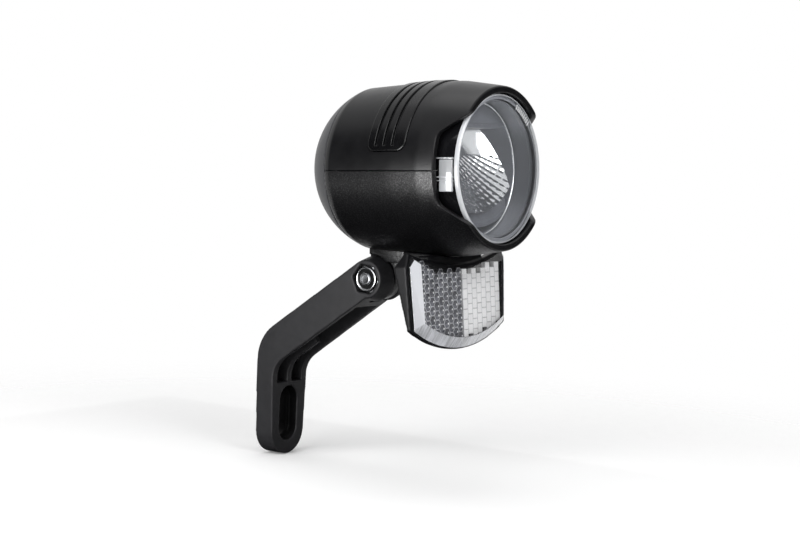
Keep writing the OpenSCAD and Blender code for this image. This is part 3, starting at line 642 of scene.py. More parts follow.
class HEADLIGHT_OT_rib_panel(bpy.types.Operator):
    """Smooth panel over the barrel with three long grooves"""
    bl_idname = "headlight.rib_panel"
    bl_label = "Rib panel"

    def execute(self, context):
        width, depth = sizes().groove_width / MM, sizes().groove_depth / MM
        ease, proud, sunk, low_groove = 0.4, 0.4, 0.95, 6.9
        flank, spill = 0.3, 0.12
        edge_r = barrel_radius(24)
        start = asin(PANEL_LOW / edge_r)
        fine = [start + (asin(10.5 / edge_r) - start) * (k / 44) ** 1.3 for k in range(45)]
        turns = fine + list(np.linspace(fine[-1], pi - fine[-1], 90)[1:-1]) + [pi - a for a in reversed(fine)]
        backs = set(np.linspace(PANEL_FRONT, PANEL_REAR, 30))
        grooves = [PANEL_MID + k * 3 for k in (-1, 0, 1)]
        for middle in grooves:
            backs |= {middle + k * 0.09 for k in range(-9, 10)}
        for edge in (PANEL_FRONT, PANEL_REAR):
            backs |= {min(max(edge + k * 0.08, PANEL_FRONT), PANEL_REAR) for k in range(-7, 8)}
        backs = sorted(backs)
        top, base = [], []
        for turn in turns:
            z = edge_r * sin(turn)
            inset = panel_inset(z, 0)
            lo, hi = PANEL_FRONT + inset, PANEL_REAR - inset
            for back in backs:
                s = min(max(back, lo), hi)
                r = barrel_radius(s)
                side = min(s - lo, hi - s)
                inside = min(side, z - PANEL_LOW)
                if z < PANEL_LOW + PANEL_CORNER:
                    for c in (PANEL_FRONT + PANEL_CORNER, PANEL_REAR - PANEL_CORNER):
                        beyond = (c - s) if c < PANEL_MID else (s - c)
                        if beyond > 0:
                            inside = min(inside, PANEL_CORNER - hypot(beyond, PANEL_LOW + PANEL_CORNER - z))
                e = ease - min(max(inside, 0), ease)
                height = proud - (ease - sqrt(max(0, ease * ease - e * e)))
                for middle in grooves:
                    off = abs(s - middle) if z > low_groove else hypot(s - middle, low_groove - z)
                    u = min(1, max(0, (width / 2 + spill - off) / flank))
                    height -= depth * u * u * (3 - 2 * u)
                top.append((-s, (r + height) * cos(turn), (r + height) * sin(turn)))
                base.append((-s, (r - sunk) * cos(turn), (r - sunk) * sin(turn)))
        faces = slab_faces(len(turns), len(backs))
        mesh = tidy(new_mesh("ribs", top + base, faces), LAMP, merge=1e-3)
        finish = moulded("smooth_black", colours().panel, 0.24, 9.0, 0.004, 0.2, 0.1)
        piece("rib_strip", mesh, [finish], "lamp", ["rib_panel"], sharp=50)
        return {"FINISHED"}


def painted_bore_light():
    """Painted light in the lens's clear bore: grey for the lit inside seen through it, lighter towards its
    top and its bottom.
    """
    f = Finish("bore_painted_light")
    height = f.node("ShaderNodeSeparateXYZ", None, {0: f.place}, "Z") - (LAMP @ Vector((-6, 0, 0))).z / MM
    ends = f.node("ShaderNodeMapRange", {"interpolation_type": "SMOOTHSTEP"},
                  {"Value": abs(height), "From Min": 6.0, "From Max": 17.0})
    fine = f.noise(4.0, 3.0)
    return f.close(f.principled(
        Base_Color=f.blend(ends * 0.9 + fine * 0.1, (0.142, 0.148, 0.164, 1), (0.36, 0.37, 0.4, 1)),
        Roughness=(fine - 0.5) * 0.1 + 0.3,
        Specular_IOR_Level=0.4))


class HEADLIGHT_OT_lens(bpy.types.Operator):
    """Clear domed cup in the front, with a rounded rim and a tab on each side"""
    bl_idname = "headlight.lens"
    bl_label = "Lens"

    def execute(self, context):
        ball = (LENS_R ** 2 + LENS_DOME ** 2) / (2 * LENS_DOME)

        def dome(r, extra=0.0):
            return LENS_SET - LENS_DOME + extra + ball - sqrt(ball * ball - r * r)

        ease = 0.6
        face = [(dome(r), r) for r in np.linspace(0, LENS_R - ease, 14)]
        rim = [(dome(LENS_R - ease) + ease - ease * cos(a), LENS_R - ease + ease * sin(a))
               for a in np.linspace(0.15, pi / 2, 7)]
        side = [(s, LENS_R) for s in (2.15, 2.5, 4.5, 6, 8, 9.6)]
        edge, fillet = 0.15, 0.8
        flange = [(FLANGE_FRONT, LENS_R + edge), (FLANGE_FRONT, FLANGE_R - edge),
                  (FLANGE_FRONT + edge, FLANGE_R), (FLANGE_REAR - edge, FLANGE_R),
                  (FLANGE_REAR, FLANGE_R - edge), (FLANGE_REAR, LENS_IN_R)]
        deep = dome(LENS_IN_R - fillet, LENS_FACE)
        bore = [(s, LENS_IN_R) for s in (9, 7, 5, deep + fillet)]
        bore += [(deep + fillet - fillet * sin(a), LENS_IN_R - fillet + fillet * cos(a))
                 for a in np.linspace(0.2, pi / 2, 6)]
        back = [(dome(r, LENS_FACE), r) for r in np.linspace(LENS_IN_R - 1.4, 0, 13)]
        profile = face + rim + side + flange + bore + back
        mesh = tidy(new_mesh("cup", *lathe(profile, 168)))
        # Each tab is a block with three thin bars: front, rear, top, foot and reach
        tabs = []
        for way in (-1, 1):
            for near, far, top, low, reach in ((2.9, 7.3, 2.6, -6.4, 22.1), (2.7, 8.6, 3.2, 2.75, 22.2),
                                               (2.7, 8.8, -2.1, -2.5, 22.25), (2.7, 8.6, -3.2, -3.5, 22.25)):
                tab = box_mesh("tab", (-near, -far), (way * COAT_R, way * reach), (low, top))
                width = 0.3 if top > 0 > low else 0.1
                tabs.append(evaluated(tab, ("BEVEL", {"width": width, "segments": 3})))
        # A coat inside the clear wall, with painted light and shade: grey towards the bowl for the lit
        # inside, dark towards the barrel for the shade there
        coat = tidy(new_mesh("coat", *lathe([
            (1.95, 19.9), (2.6, COAT_R), (9.8, COAT_R), (9.8, COAT_R + 0.15), (2.5, COAT_R + 0.15),
            (1.85, 20.0)], 168)))
        # Fine ribs behind the face, at the top on the left, painted pale white as a highlight caught in the
        # clear ribs
        ribs = []
        for k in range(9):
            rib = box_mesh("rib", (-1.5, -1.8), (19.3, 20.8), (-0.22, 0.22))
            rib.transform(Matrix.Rotation(radians(41 + 2.7 * k), 4, "X"))
            ribs.append(rib)
        cup_end = len(mesh.polygons)
        coat_end = cup_end + len(coat.polygons)
        rib_end = coat_end + sum(len(rib.polygons) for rib in ribs)
        mesh = joined("cup", mesh, coat, *ribs, *tabs)
        window, rounded, dark, lit_bore, tab_kind, rib_highlight = range(6)
        for i, f in enumerate(mesh.polygons):
            c = f.center
            r, back = hypot(c.y, c.z), -c.x
            if i >= rib_end:
                kind = tab_kind
            elif i >= coat_end:
                kind = rib_highlight
            elif i >= cup_end:
                kind = lit_bore if r < COAT_R + 0.05 else dark
            # Painted highlight: the rounded rim takes a milky white for the light caught in the clear edge
            elif r > LENS_R - ease - 0.1:
                kind = rounded if back < 2.5 else dark
            # The bore takes painted light: grey for the lit inside seen through the clear wall
            elif back > deep + 0.05 and LENS_IN_R - 0.75 < r < LENS_IN_R + 0.1:
                kind = lit_bore
            else:
                kind = dark if back > FLANGE_FRONT else window
            f.material_index = kind
        mesh.transform(LAMP)
        # Painted shade: near-black on the clear side wall, the flange and the coat's outer face, for the
        # shade inside the barrel
        finishes = [clear("clear_plastic", (0.97, 0.975, 0.98), 0.036),
                    clear("painted_rim_light", (0.9, 0.91, 0.92), 0.62),
                    moulded("painted_shade_side", (0.006, 0.006, 0.007), 0.12, 4.0, 0.004, 0.4),
                    painted_bore_light(),
                    clear("tab_plastic", (0.8, 0.81, 0.83), 0.4),
                    moulded("painted_rib_highlight", (0.95, 0.955, 0.96), 0.25, 4.0, 0.004, 0.5)]
        piece("front_lens", mesh, finishes, "lamp", ["lens"])
        return {"FINISHED"}


class HEADLIGHT_OT_mirror_bowl(bpy.types.Operator):
    """Mirror bowl under its shelf, with a field of pillow facets, and the bezel over it"""
    bl_idname = "headlight.mirror_bowl"
    bl_label = "Mirror bowl and bezel"

    def execute(self, context):
        step, run = sizes().facet_turn, sizes().facet_run / MM
        pillow_height, plain_above, fade = 0.11, 4.2, 1.2
        rows = 96
        turns = np.linspace(-pi + 0.01, -0.01, 325)
        columns = []
        for turn in turns:
            dy, dz = cos(turn), sin(turn)
            limit = -SHELF * dz + sqrt((BOWL_IN_R - 0.15) ** 2 - SHELF ** 2 * dy ** 2)
            limit = min(limit, sqrt(4 * FACET_FOCAL * (FACET_REAR - BOWL_FRONT - 0.5)))
            columns.append([(rho, turn, rho * dy, SHELF + rho * dz)
                            for rho in np.linspace(1.2, limit, rows)])
        front, rear = [], []
        for column in columns:
            for rho, turn, y, z in column:
                u = 2 * ((turn / step) % 1) - 1
                v = 2 * ((rho / run) % 1) - 1
                below = min(1, max(0, (plain_above - z) / fade))
                pillow = pillow_height * (1 - u * u) * (1 - v * v) * below * min(1, rho / 8)
                front.append((rho * rho / (4 * FACET_FOCAL) - FACET_REAR + pillow, y, z))
                rear.append((rho * rho / (4 * FOCAL) - BOWL_REAR + 0.03, y, z))
        faces = slab_faces(len(turns), rows)
        mesh = tidy(new_mesh("facets", front + rear, faces), LAMP, merge=1e-3)
        piece("mirror_facets", mesh, [metal("mirror_coat", colours().mirror, 0.07, scratch=0.02)],
              "lamp", sharp=28)
        bead_r = 0.34
        edge = [(BOWL_FRONT - 0.05 + bead_r * cos(a), BOWL_IN_R + 0.5 + bead_r * sin(a))
                for a in np.linspace(0, 2 * pi, 12, endpoint=False)]
        bead = tidy(new_mesh("bead", *lathe(edge, 144)), LAMP)
        bright = metal("bright_edge", (0.93, 0.94, 0.95), 0.2, scratch=0.02)
        piece("bowl_bead", bead, [bright], "lamp")
        satin = moulded("satin_and_painted_reflection", colours().bezel, 0.35, 4.0, 0.004, 0.5)
        # The bezel keeps its own satin grey; on the mirror bowl this grey is a painted reflection in place of
        # its mirror coat
        for node in ("mirror_bowl", "bezel"):
            dress(node, satin)
        return {"FINISHED"}


class HEADLIGHT_OT_light_source(bpy.types.Operator):
    """LED on its board under the heat sink, and the driver board with its pieces"""
    bl_idname = "headlight.light_source"
    bl_label = "LED and driver"

    def execute(self, context):
        dress("led_emitter", moulded("phosphor", (0.9, 0.72, 0.18), 0.35, 12.0, 0.01, 0.4))
        dress("led_board", metal("board_aluminium", (0.8, 0.81, 0.79), 0.4, (1, 8, 1)))
        dress("heat_sink", metal("sink_aluminium", (0.55, 0.56, 0.58), 0.45, (8, 1, 1)))
        dress("driver_board", moulded("circuit_board", (0.02, 0.16, 0.06), 0.35, 3.0, 0.01, 0.5))
        dress("capacitor", moulded("capacitor_sleeve", (0.02, 0.022, 0.09), 0.25, 6.0, 0.004, 0.5))
        dress("cable_terminal", moulded("terminal_green", (0.03, 0.2, 0.08), 0.4, 6.0, 0.01, 0.4))
        return {"FINISHED"}


class HEADLIGHT_OT_seals(bpy.types.Operator):
    """Rubber rings behind the lens and in the rear cap, and the grommet in the cable's inlet"""
    bl_idname = "headlight.seals"
    bl_label = "Seals and grommet"

    def execute(self, context):
        finish = rubber("seal_rubber", (0.018, 0.018, 0.019))
        for node in ("lens_seal", "cap_seal"):
            dress(node, finish)
        soft_piece("inlet_grommet", "cable_grommet", 0.12, 6, finish, "lamp")
        return {"FINISHED"}


class HEADLIGHT_OT_screws(bpy.types.Operator):
    """Small screws that hold the rear cap and the reflector's housing"""
    bl_idname = "headlight.screws"
    bl_label = "Screws"

    def execute(self, context):
        finish = metal("screw_steel", (0.55, 0.55, 0.56), 0.3, (1, 6, 6))
        soft_piece("tail_screws", "cap_screws", 0.1, 4, finish, "lamp")
        soft_piece("saddle_screw", "reflector_screw", 0.1, 4, finish, "lamp")
        return {"FINISHED"}


# The reflector

def span_radius(half, depth):
    """Radius of an arc, from half its span and its depth."""
    return (half * half + depth * depth) / (2 * depth)


def cell_tree(name, finishes):
    """Node tree that sets copies of a cell in staggered columns inside the reflector's outline."""
    tree = bpy.data.node_groups.new(name, "GeometryNodeTree")
    lengths = ("Column spacing", "Row spacing", "From", "To", "Head margin", "Foot margin")
    sockets = [("Cell", "Geometry"), *((label, "Float") for label in lengths), ("Seed", "Int")]
    for label, kind in sockets:
        tree.interface.new_socket(label, in_out="INPUT", socket_type=f"NodeSocket{kind}")
    tree.interface.new_socket("Cells", in_out="OUTPUT", socket_type="NodeSocketGeometry")
    net = Net(tree)
    given = {label: net.node("NodeGroupInput", out=label) for label, kind in sockets}

    def along(axis):
        return net.node("ShaderNodeSeparateXYZ", None, {0: net.node("GeometryNodeInputPosition")}, axis)

    across, up = given["Column spacing"], given["Row spacing"]
    columns, rows = 30, 20
    lattice = net.node("GeometryNodeMeshGrid", None, {
        "Size X": across * columns, "Size Y": up * rows, "Vertices X": columns + 1, "Vertices Y": rows + 1})
    y, row = along("X"), along("Y")
    column = (y / across).math("ROUND", y / across)
    odd = abs(column).math("MODULO", abs(column), 2)
    flat = net.node("ShaderNodeCombineXYZ", None, {1: y, 2: row + odd * up * 0.5})
    moved = net.node("GeometryNodeSetPosition", None, {"Geometry": lattice, "Position": flat})
    y, z = along("Y"), along("Z")
    dip_r = span_radius(RETRO_TOP_W - 1.4, RETRO_TIP - RETRO_DIP)
    foot_r = span_radius(RETRO_FOOT_W, RETRO_HIP - RETRO_FOOT)
    roof = RETRO_DIP + dip_r - (dip_r * dip_r - y * y) ** 0.5 - given["Head margin"]
    floor = RETRO_FOOT + foot_r - (foot_r * foot_r - y * y) ** 0.5 + given["Foot margin"]
    out = (z > roof) + (z < floor) + (y < given["From"]) + (y > given["To"])
    kept = net.node("GeometryNodeDeleteGeometry", {"domain": "POINT"},
                    {"Geometry": moved, "Selection": out > 0.5})
    cells = net.node("GeometryNodeInstanceOnPoints", None, {"Points": kept, "Instance": given["Cell"]})
    chance = net.node("FunctionNodeRandomValue", {"data_type": "FLOAT"},
                      {2: 0.0, 3: 1.0, "Seed": given["Seed"]}, 1)
    toned = net.node("GeometryNodeStoreNamedAttribute", {"data_type": "FLOAT", "domain": "INSTANCE"},
                     {"Geometry": cells, "Name": "tone", "Value": chance})
    made = net.node("GeometryNodeRealizeInstances", None, {"Geometry": toned})
    for index, finish in enumerate(finishes):
        chosen = net.node("GeometryNodeInputNamedAttribute", {"data_type": "INT"}, {"Name": "facet"})
        here = net.node("FunctionNodeCompare", {"data_type": "INT", "operation": "EQUAL"},
                        {2: chosen, 3: index})
        made = net.node("GeometryNodeSetMaterial", None,
                        {"Geometry": made, "Selection": here, "Material": finish})
    net.node("NodeGroupOutput", None, {0: made})
    return tree


def cells_mesh(name, points, faces, facets, finishes, values):
    """Copies of one cell as a plain mesh, from the node tree."""
    base = tidy(new_mesh(name, points, faces))
    mark = base.attributes.new("facet", "INT", "FACE")
    for i, f in enumerate(base.polygons):
        mark.data[i].value = facets(f)
    obj = added(name, base)
    tree = cell_tree(name + "_layout", finishes)
    made = obj.modifiers.new("Cells", "NODES")
    made.node_group = tree
    for item in tree.interface.items_tree:
        if item.item_type == "SOCKET" and item.in_out == "INPUT" and item.name in values:
            made[item.identifier] = values[item.name]
    mesh = final_mesh(obj)
    mesh.transform(RETRO)
    return mesh


def toned(name, colour, low, high, rough, metallic):
    """A finish whose brightness differs from cell to cell."""
    f = Finish(name)
    tone = f.node("ShaderNodeAttribute", {"attribute_name": "tone"}, out="Fac")
    fine = f.noise(3.0, 3.0)
    shader = f.principled(
        Base_Color=f.blend(tone * 0.7 + fine * 0.3, rgba(colour, low), rgba(colour, high)),
        Roughness=(fine - 0.5) * 0.1 + rough,
        Metallic=metallic,
        Normal=f.bump(fine, 0.1, 0.02))
    return f.close(shader)


def streaked(name, low, high):
    """A pale finish with streaks across it, which paints the light and reflections seen in a clear bevel."""
    f = Finish(name)
    streaks = f.noise(0.5, 4.0, (0.3, 3.0, 0.3))
    fine = f.noise(3.0, 3.0)
    band = f.node("ShaderNodeMapRange", None,
                  {"Value": streaks * 0.8 + fine * 0.2, "From Min": 0.38, "From Max": 0.6})
    shader = f.principled(
        Base_Color=f.blend(band, rgba(low), rgba(high)),
        Roughness=(fine - 0.5) * 0.1 + 0.3,
        Normal=f.bump(fine, 0.1, 0.02))
    return f.close(shader)


class HEADLIGHT_OT_reflector(bpy.types.Operator):
    """Reflector under the front: its housing, its clear cover and the cells behind it"""
    bl_idname = "headlight.reflector"
    bl_label = "Reflector"

    def execute(self, context):
        parting, rear = 2.0, -0.35
        # Bright cells: blocks with broken edges, whose near-white is a painted reflection of the light in the
        # clear prisms
        w, h, edge = sizes().brick_width / MM, sizes().brick_height / MM, 0.12
        gap = 0.03
        brick = [(x, y * (w / 2 - inset - gap), z * (h / 2 - inset - gap))
                 for x, inset in ((0.95, edge), (0.84, 0), (rear, 0))
                 for y, z in ((-1, -1), (1, -1), (1, 1), (-1, 1))]
        faces = [(0, 1, 2, 3), (11, 10, 9, 8)]
        faces += [(i + k, i + 4 + k, i + 4 + (k + 1) % 4, i + (k + 1) % 4) for i in (0, 4) for k in range(4)]
        bright = toned("painted_reflection_cell", colours().brick, 0.95, 1.04, 0.35, 0.0)
        line = toned("cell_line", (0.62, 0.62, 0.63), 0.8, 1.2, 0.4, 0.0)
        mesh = cells_mesh("bricks", brick, faces, lambda f: 0 if f.normal.x > 0.95 else 1, [bright, line], {
            "Column spacing": w, "Row spacing": h, "Head margin": 1.3, "Foot margin": 2.6,
            "From": parting + 0.2, "To": 21.4, "Seed": sizes().seed})
        piece("bright_cells", mesh, [], "lamp", sharp=20)
        # Dark cells: six-sided prisms, whose three facets rise to a small tip. Light and shade are painted on
        # them: a white glint on the tip, a pale highlight round the rim, darker facets facing upwards and
        # near-black walls.
        up = sizes().prism_height / MM
        r, rim, tip = up / sqrt(3) * 0.99, 0.16, 0.34
        rings = [[(x, k * cos(a), k * sin(a)) for a in (i * pi / 3 for i in range(6))]
                 for x, k in ((rear, r), (0.6, r), (0.62, r - rim), (1.1, tip))]
        faces = [tuple(reversed(range(6))), tuple(range(18, 24))]
        faces += [(j * 6 + k, j * 6 + (k + 1) % 6, j * 6 + 6 + (k + 1) % 6, j * 6 + 6 + k)
                  for j in range(3) for k in range(6)]

        low_facet, wall, summit, border, high_facet = range(5)

        def kind(f):
            if f.normal.x < 0.2:
                return wall
            if hypot(f.center.y, f.center.z) < 0.1:
                return summit
            if f.normal.x > 0.97:
                return border
            return low_facet if f.normal.z < 0.1 else high_facet

        # Painted light and shade: upward facets darker than the others, near-black walls, a white glint on
        # each tip and a pale highlight round each rim
        dark = toned("dark_facet", (0.125, 0.13, 0.147), 0.5, 1.5, 0.2, 0.2)
        deep = toned("painted_wall_shade", (0.02, 0.02, 0.022), 0.8, 1.2, 0.3, 0.0)
        glint = toned("painted_glint_tip", (0.9, 0.905, 0.92), 0.7, 1.1, 0.2, 0.0)
        pale = toned("painted_rim_highlight", (0.46, 0.465, 0.49), 0.4, 1.6, 0.2, 0.0)
        shade = toned("painted_shade_facet", (0.055, 0.057, 0.066), 0.5, 1.5, 0.2, 0.2)
        mesh = cells_mesh("prisms", sum(rings, []), faces, kind, [dark, deep, glint, pale, shade], {
            "Column spacing": up * sqrt(3) / 2, "Row spacing": up, "Head margin": 0.8, "Foot margin": 2.3,
            "From": -20.8, "To": parting - 0.8, "Seed": sizes().seed})
        piece("dark_cells", mesh, [], "lamp", sharp=15)
        # The cover with broken edges, and a pale lining behind its side and foot bevels, which paints the
        # light seen in them
        lining_gap, lining_thick, cover_break = 0.12 * MM, 0.1 * MM, 0.13 * MM
        solid = solid_copy("reflector_lens")
        turn = RETRO.to_3x3().normalized().inverted()
        bm = bmesh.new()
        bm.from_mesh(solid)
        bm.normal_update()
        gone = []
        for f in bm.faces:
            n = turn @ f.normal
            if not 0.2 < n.x < 0.97 or n.z > 0.3:
                gone.append(f)
            else:
                f.material_index = 1 if n.z < -0.3 else 0
        bmesh.ops.delete(bm, geom=gone, context="FACES")
        bm.normal_update()
        for v in bm.verts:
            v.co -= v.normal * lining_gap
        sheet = bpy.data.meshes.new("lining")
        bm.to_mesh(sheet)
        bm.free()
        # The lining's side and foot finishes are painted light; its back is plain dark plastic
        side = toned("painted_light_side", (0.6, 0.61, 0.635), 0.96, 1.04, 0.3, 0.0)
        foot = streaked("painted_light_foot", (0.34, 0.345, 0.36), (0.66, 0.67, 0.7))
        dark = moulded("lining_back", (0.02, 0.02, 0.022), 0.4, 5.0, 0.004)
        for finish in (side, foot, dark):
            sheet.materials.append(finish)
        sheet = evaluated(sheet, ("SOLIDIFY", {"thickness": lining_thick, "offset": -1.0,
                                               "material_offset": 2, "material_offset_rim": 2}))
        piece("bevel_lining", sheet, [], "lamp", sharp=25)
        # The faces that the broken edges add take a milky finish, a painted highlight along the cover's edges
        cover = evaluated(solid, ("BEVEL", {"width": cover_break, "segments": 2, "limit_method": "ANGLE",
                                            "angle_limit": radians(22), "material": 1}))
        piece("reflector_cover", cover, [clear("cover_plastic", (0.97, 0.97, 0.975), 0.012),
                                         clear("painted_edge_highlight", (0.95, 0.955, 0.96), 0.6)],
              "lamp", ["reflector_lens"], sharp=12)
        finish = moulded("housing_black", colours().shell, 0.36, 5.0, 0.02, 0.1)
        soft_piece("reflector_frame", "reflector_housing", 0.27, 5, finish, "lamp")
        return {"FINISHED"}


# The bracket and its pivot

class HEADLIGHT_OT_bracket(bpy.types.Operator):
    """Cranked bracket with its slotted plate, channel and ears"""
    bl_idname = "headlight.bracket"
    bl_label = "Bracket"

    def execute(self, context):
        finish = moulded("bracket_black", colours().bracket, 0.48, 4.0, 0.03, 0.16)
        # The second finish is painted shade: near-black plastic on the faces inside the nut's pocket and the
        # fork slot
        shade = moulded("painted_pocket_shade", (0.003, 0.003, 0.0033), 0.5, 4.0, 0.03, 0.06)
        mesh = softened("bracket", 0.262, 7)
        pivot = PIVOT / MM
        pocket_r, slot_near, slot_far, slot_end = 4.85, -1.5, 4.4, 8.7
        # Faces in the pocket and in the slot take the painted shade
        for f in mesh.polygons:
            c = f.center / MM
            in_pocket = -7 < c.y < -3 and hypot(c.x - pivot.x, c.z - pivot.z) < pocket_r
            in_slot = 0.2 < c.x < 6.2 and slot_near < c.y < slot_far and abs(c.z) < slot_end
            f.material_index = 1 if in_pocket or in_slot else 0
        bracket = piece("fork_bracket", mesh, [finish, shade], "bracket", ["bracket"], sharp=0)
        # The front light is flagged off the bracket, which stands in the lamp's shade
        front = bpy.data.objects.get("front_box")
        if front:
            receivers = bpy.data.collections.new("front_box_receivers")
            receivers.objects.link(bracket)
            receivers.collection_objects[0].light_linking.link_state = "EXCLUDE"
            front.light_linking.receiver_collection = receivers
        return {"FINISHED"}


class HEADLIGHT_OT_pivot(bpy.types.Operator):
    """Bolt, nut and washers that the lamp turns on"""
    bl_idname = "headlight.pivot"
    bl_label = "Pivot bolt"

    def execute(self, context):
        chrome = metal("bright_chrome", (0.42, 0.425, 0.44), 0.2, scratch=0.05)
        steel = metal("bolt_steel", (0.2, 0.203, 0.213), 0.22, scratch=0.08)
        at_pivot = Matrix.Translation(PIVOT) @ Matrix.Scale(MM, 4)
        stud = turned("stud", [(-6.5, 0), (-6.5, 1.93), (-7.05, 1.93), (-7.2, 1.86), (-7.36, 1.6),
                               (-7.4, 1.45), (-7.36, 1.2), (-7.33, 0)])
        stud.transform(at_pivot)
        piece("hinge_bolt", joined("bolt", softened("pivot_bolt", 0.1, 4), stud), [steel], "bracket",
              ["pivot_bolt"])
        soft_piece("hinge_washers", "pivot_washers", 0.1, 4, chrome, "bracket")
        # The nut: a hexagon with a turned collar, which holds a ring of nylon
        seat, top, corner_r, nylon_face, nylon_r = -3.225, -5.95, 4.6, -6.71, 3.0
        hexagon = [(corner_r * cos(a), corner_r * sin(a))
                   for a in (k * pi / 3 - radians(5) for k in range(6))]
        block = prism(hexagon, (seat + top) / 2, seat - top, 0.2)
        collar = turned("collar", [
            (top + 0.3, 2.56), (-6.725, 2.56), (-6.73, 1.97), (-6.75, 1.95), (-6.77, 2.0), (-6.77, 2.8),
            (-6.76, 2.98), (-6.8, 3.04), (-6.88, 3.1), (-6.97, 3.2), (-7.0, 3.34), (-6.97, 3.5),
            (-6.87, 3.63), (-6.7, 3.72), (-6.5, 3.76), (top + 0.3, 3.76)])
        mesh = joined("nut", block, collar)
        for f in mesh.polygons:
            c = f.center
            f.material_index = 1 if c.y < nylon_face and hypot(c.x, c.z) < nylon_r else 0
        mesh.transform(at_pivot)
        nylon = moulded("nylon_ring", (0.003, 0.003, 0.0035), 0.4, 5.0, 0.01, 0.08)
        piece("hinge_nut", mesh, [chrome, nylon], "bracket", ["pivot_nut"])
        return {"FINISHED"}


# The stage

def direct_rays(net):
    """More than 0 for rays from the camera and for glossy or transmitted rays, and 0 for others."""
    camera, glossy, sent = (net.node("ShaderNodeLightPath", out=f"Is {kind} Ray")
                            for kind in ("Camera", "Glossy", "Transmission"))
    return camera + glossy + sent


def softbox(name, place, target, size, power, hidden_from=None):
    """A soft light, which may be hidden from one kind of ray."""
    light = bpy.data.lights.new(name, "AREA")
    light.shape = "RECTANGLE"
    light.size, light.size_y = size
    light.energy = power
    obj = added(name, light)
    obj.location = place
    obj.rotation_euler = (Vector(target) - Vector(place)).to_track_quat("-Z", "Y").to_euler()
    if hidden_from:
        setattr(obj, f"visible_{hidden_from}", False)


def black_card(name, place, target, size):
    """A studio card that shows only in gloss, so that dark plastic has something dark to mirror."""
    w, h = size[0] / 2, size[1] / 2
    mesh = new_mesh(name, [(-w, -h, 0), (w, -h, 0), (w, h, 0), (-w, h, 0)], [(0, 1, 2, 3)])
    mesh.materials.append(moulded(name, (0.004, 0.004, 0.004), 0.9, 1.0, 0.001, 0.05))
    obj = added(name, mesh)
    obj.location = place
    obj.rotation_euler = (Vector(target) - Vector(place)).to_track_quat("Z", "Y").to_euler()
    for ray in ("camera", "diffuse", "transmission", "volume_scatter", "shadow"):
        setattr(obj, f"visible_{ray}", False)


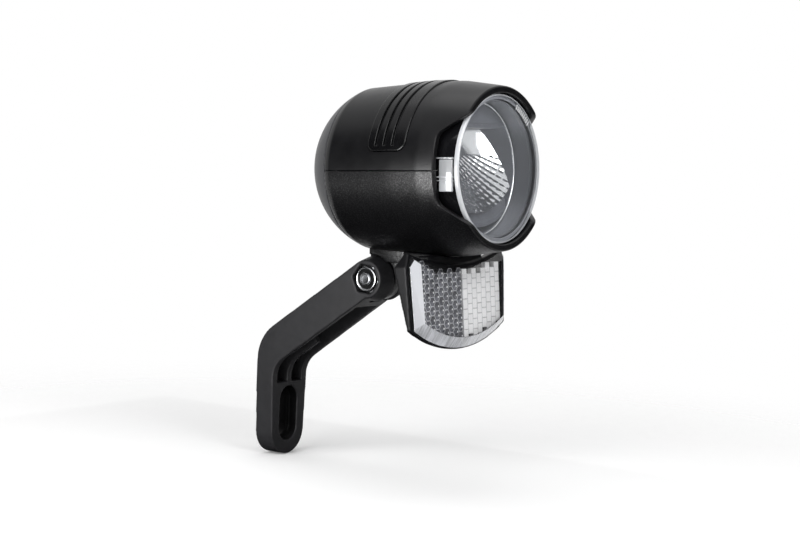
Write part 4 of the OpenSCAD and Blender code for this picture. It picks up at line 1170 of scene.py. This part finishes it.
class HEADLIGHT_OT_stage(bpy.types.Operator):
    """Pale floor, soft light and the camera"""
    bl_idname = "headlight.stage"
    bl_label = "Stage"

    def execute(self, context):
        scene = context.scene
        scene.view_settings.view_transform = "Standard"
        low = CAD_BOX[0].z - 0.0002
        floor = new_mesh("floor", [(-3, -3, low), (3, -3, low), (3, 3, low), (-3, 3, low)], [(0, 1, 2, 3)])
        f = Finish("pale_floor")
        coat = f.principled(
            Base_Color=f.blend(f.noise(0.002), (0.86, 0.86, 0.86, 1), (0.9, 0.9, 0.9, 1)), Roughness=0.8)
        spread = f.node("ShaderNodeVectorMath", {"operation": "DISTANCE"},
                        {0: f.place, 1: (45, 0, low / MM)}, "Value")
        fade = f.node("ShaderNodeMapRange", {"interpolation_type": "SMOOTHSTEP"},
                      {"Value": spread, "From Min": 70.0, "From Max": 260.0})
        through = f.node("ShaderNodeBsdfTransparent")
        glow = f.node("ShaderNodeEmission", None, {"Strength": direct_rays(f) * 0.12})
        lit = f.node("ShaderNodeAddShader", None, {0: coat, 1: glow})
        f.close(f.node("ShaderNodeMixShader", None, {0: fade, 1: lit, 2: through}))
        floor.materials.append(f.material)
        added("floor", floor)

        world = bpy.data.worlds.new("studio")
        world.use_nodes = True
        net = Net(world.node_tree)
        world.node_tree.nodes.clear()
        sky = net.node("ShaderNodeBackground", None, {
            "Color": (1, 1, 1, 1), "Strength": (direct_rays(net) > 0.5) * 0.72 + 0.28})
        net.node("ShaderNodeOutputWorld", None, {"Surface": sky})
        scene.world = world

        middle = Vector((0.06, 0, 0.07))
        softbox("top_box", (-0.1, 0.1, 0.8), middle, (0.5, 0.5), 1.6)
        softbox("near_strip", (0.042, -0.2, 0.036), (0.047, 0, 0.05), (0.156, 0.096), 0.8, "diffuse")
        softbox("side_box", (-0.02, -0.6, 0.3), middle, (0.5, 0.5), 3.0, "glossy")
        softbox("front_box", (0.75, -0.2, 0.4), middle, (0.4, 0.4), 3.4)
        softbox("fill_box", (0.25, -0.5, 0.7), middle, (0.5, 0.5), 1.6)
        black_card("left_card", (-0.284, -0.301, 0.2), middle + Vector((0, 0, 0.13)), (0.33, 0.42))
        black_card("right_card", (0.36, 0.4, 0.1), middle + Vector((0, 0, 0.03)), (0.46, 0.36))
        black_card("low_card", (0.03, -0.065, low + 0.0005), (0.03, -0.065, 1), (0.26, 0.25))

        # The camera, from the photo's angle: it looks 54 degrees off the lamp's axis from the near side
        a, pitch = radians(54), atan(97.75 / 2000)
        away, aside, above = 571.43, 29.0, 27.93
        right = Vector((sin(a), cos(a), 0))
        level = Vector((-cos(a), sin(a), 0))
        up_axis = Vector((0, 0, 1))
        view = level * cos(pitch) - up_axis * sin(pitch)
        up = up_axis * cos(pitch) + level * sin(pitch)
        turn = Matrix.Rotation(-TILT, 3, "Y")
        aim = PIVOT + turn @ Vector((43.4, 0, 32.7)) * MM
        eye = aim - turn @ (view * away + right * aside + up * above) * MM
        lens = bpy.data.cameras.new("camera")
        lens.lens, lens.sensor_width, lens.sensor_fit = 90, 36, "HORIZONTAL"
        lens.clip_start, lens.clip_end = 0.01, 20
        camera = added("camera", lens)
        axes = Matrix([turn @ right, turn @ up, turn @ -view]).transposed().to_4x4()
        camera.matrix_world = Matrix.Translation(eye) @ axes
        scene.camera = camera
        return {"FINISHED"}


# The add-on

OPERATORS = (
    HEADLIGHT_OT_stage, HEADLIGHT_OT_shells, HEADLIGHT_OT_rear_cap, HEADLIGHT_OT_rib_panel, HEADLIGHT_OT_lens,
    HEADLIGHT_OT_mirror_bowl, HEADLIGHT_OT_light_source, HEADLIGHT_OT_seals, HEADLIGHT_OT_screws,
    HEADLIGHT_OT_reflector, HEADLIGHT_OT_bracket, HEADLIGHT_OT_pivot)


class HEADLIGHT_PT_panel(bpy.types.Panel):
    """Sizes, colours and pieces of the headlight"""
    bl_idname = "HEADLIGHT_PT_panel"
    bl_label = "Headlight"
    bl_space_type = "VIEW_3D"
    bl_region_type = "UI"
    bl_category = "Headlight"

    def draw(self, context):
        for group in (context.scene.headlight_sizes, context.scene.headlight_colours):
            box = self.layout.box()
            for name in group.__annotations__:
                box.prop(group, name)
        for operator in OPERATORS:
            self.layout.operator(operator.bl_idname)


CLASSES = (HeadlightSizes, HeadlightColours, *OPERATORS, HEADLIGHT_PT_panel)


def register():
    for cls in CLASSES:
        bpy.utils.register_class(cls)
    bpy.types.Scene.headlight_sizes = PointerProperty(type=HeadlightSizes)
    bpy.types.Scene.headlight_colours = PointerProperty(type=HeadlightColours)


def unregister():
    del bpy.types.Scene.headlight_colours
    del bpy.types.Scene.headlight_sizes
    for cls in reversed(CLASSES):
        bpy.utils.unregister_class(cls)


def main():
    register()
    for operator in OPERATORS:
        group, name = operator.bl_idname.split(".")
        getattr(getattr(bpy.ops, group), name)()


if __name__ == "__main__":
    main()
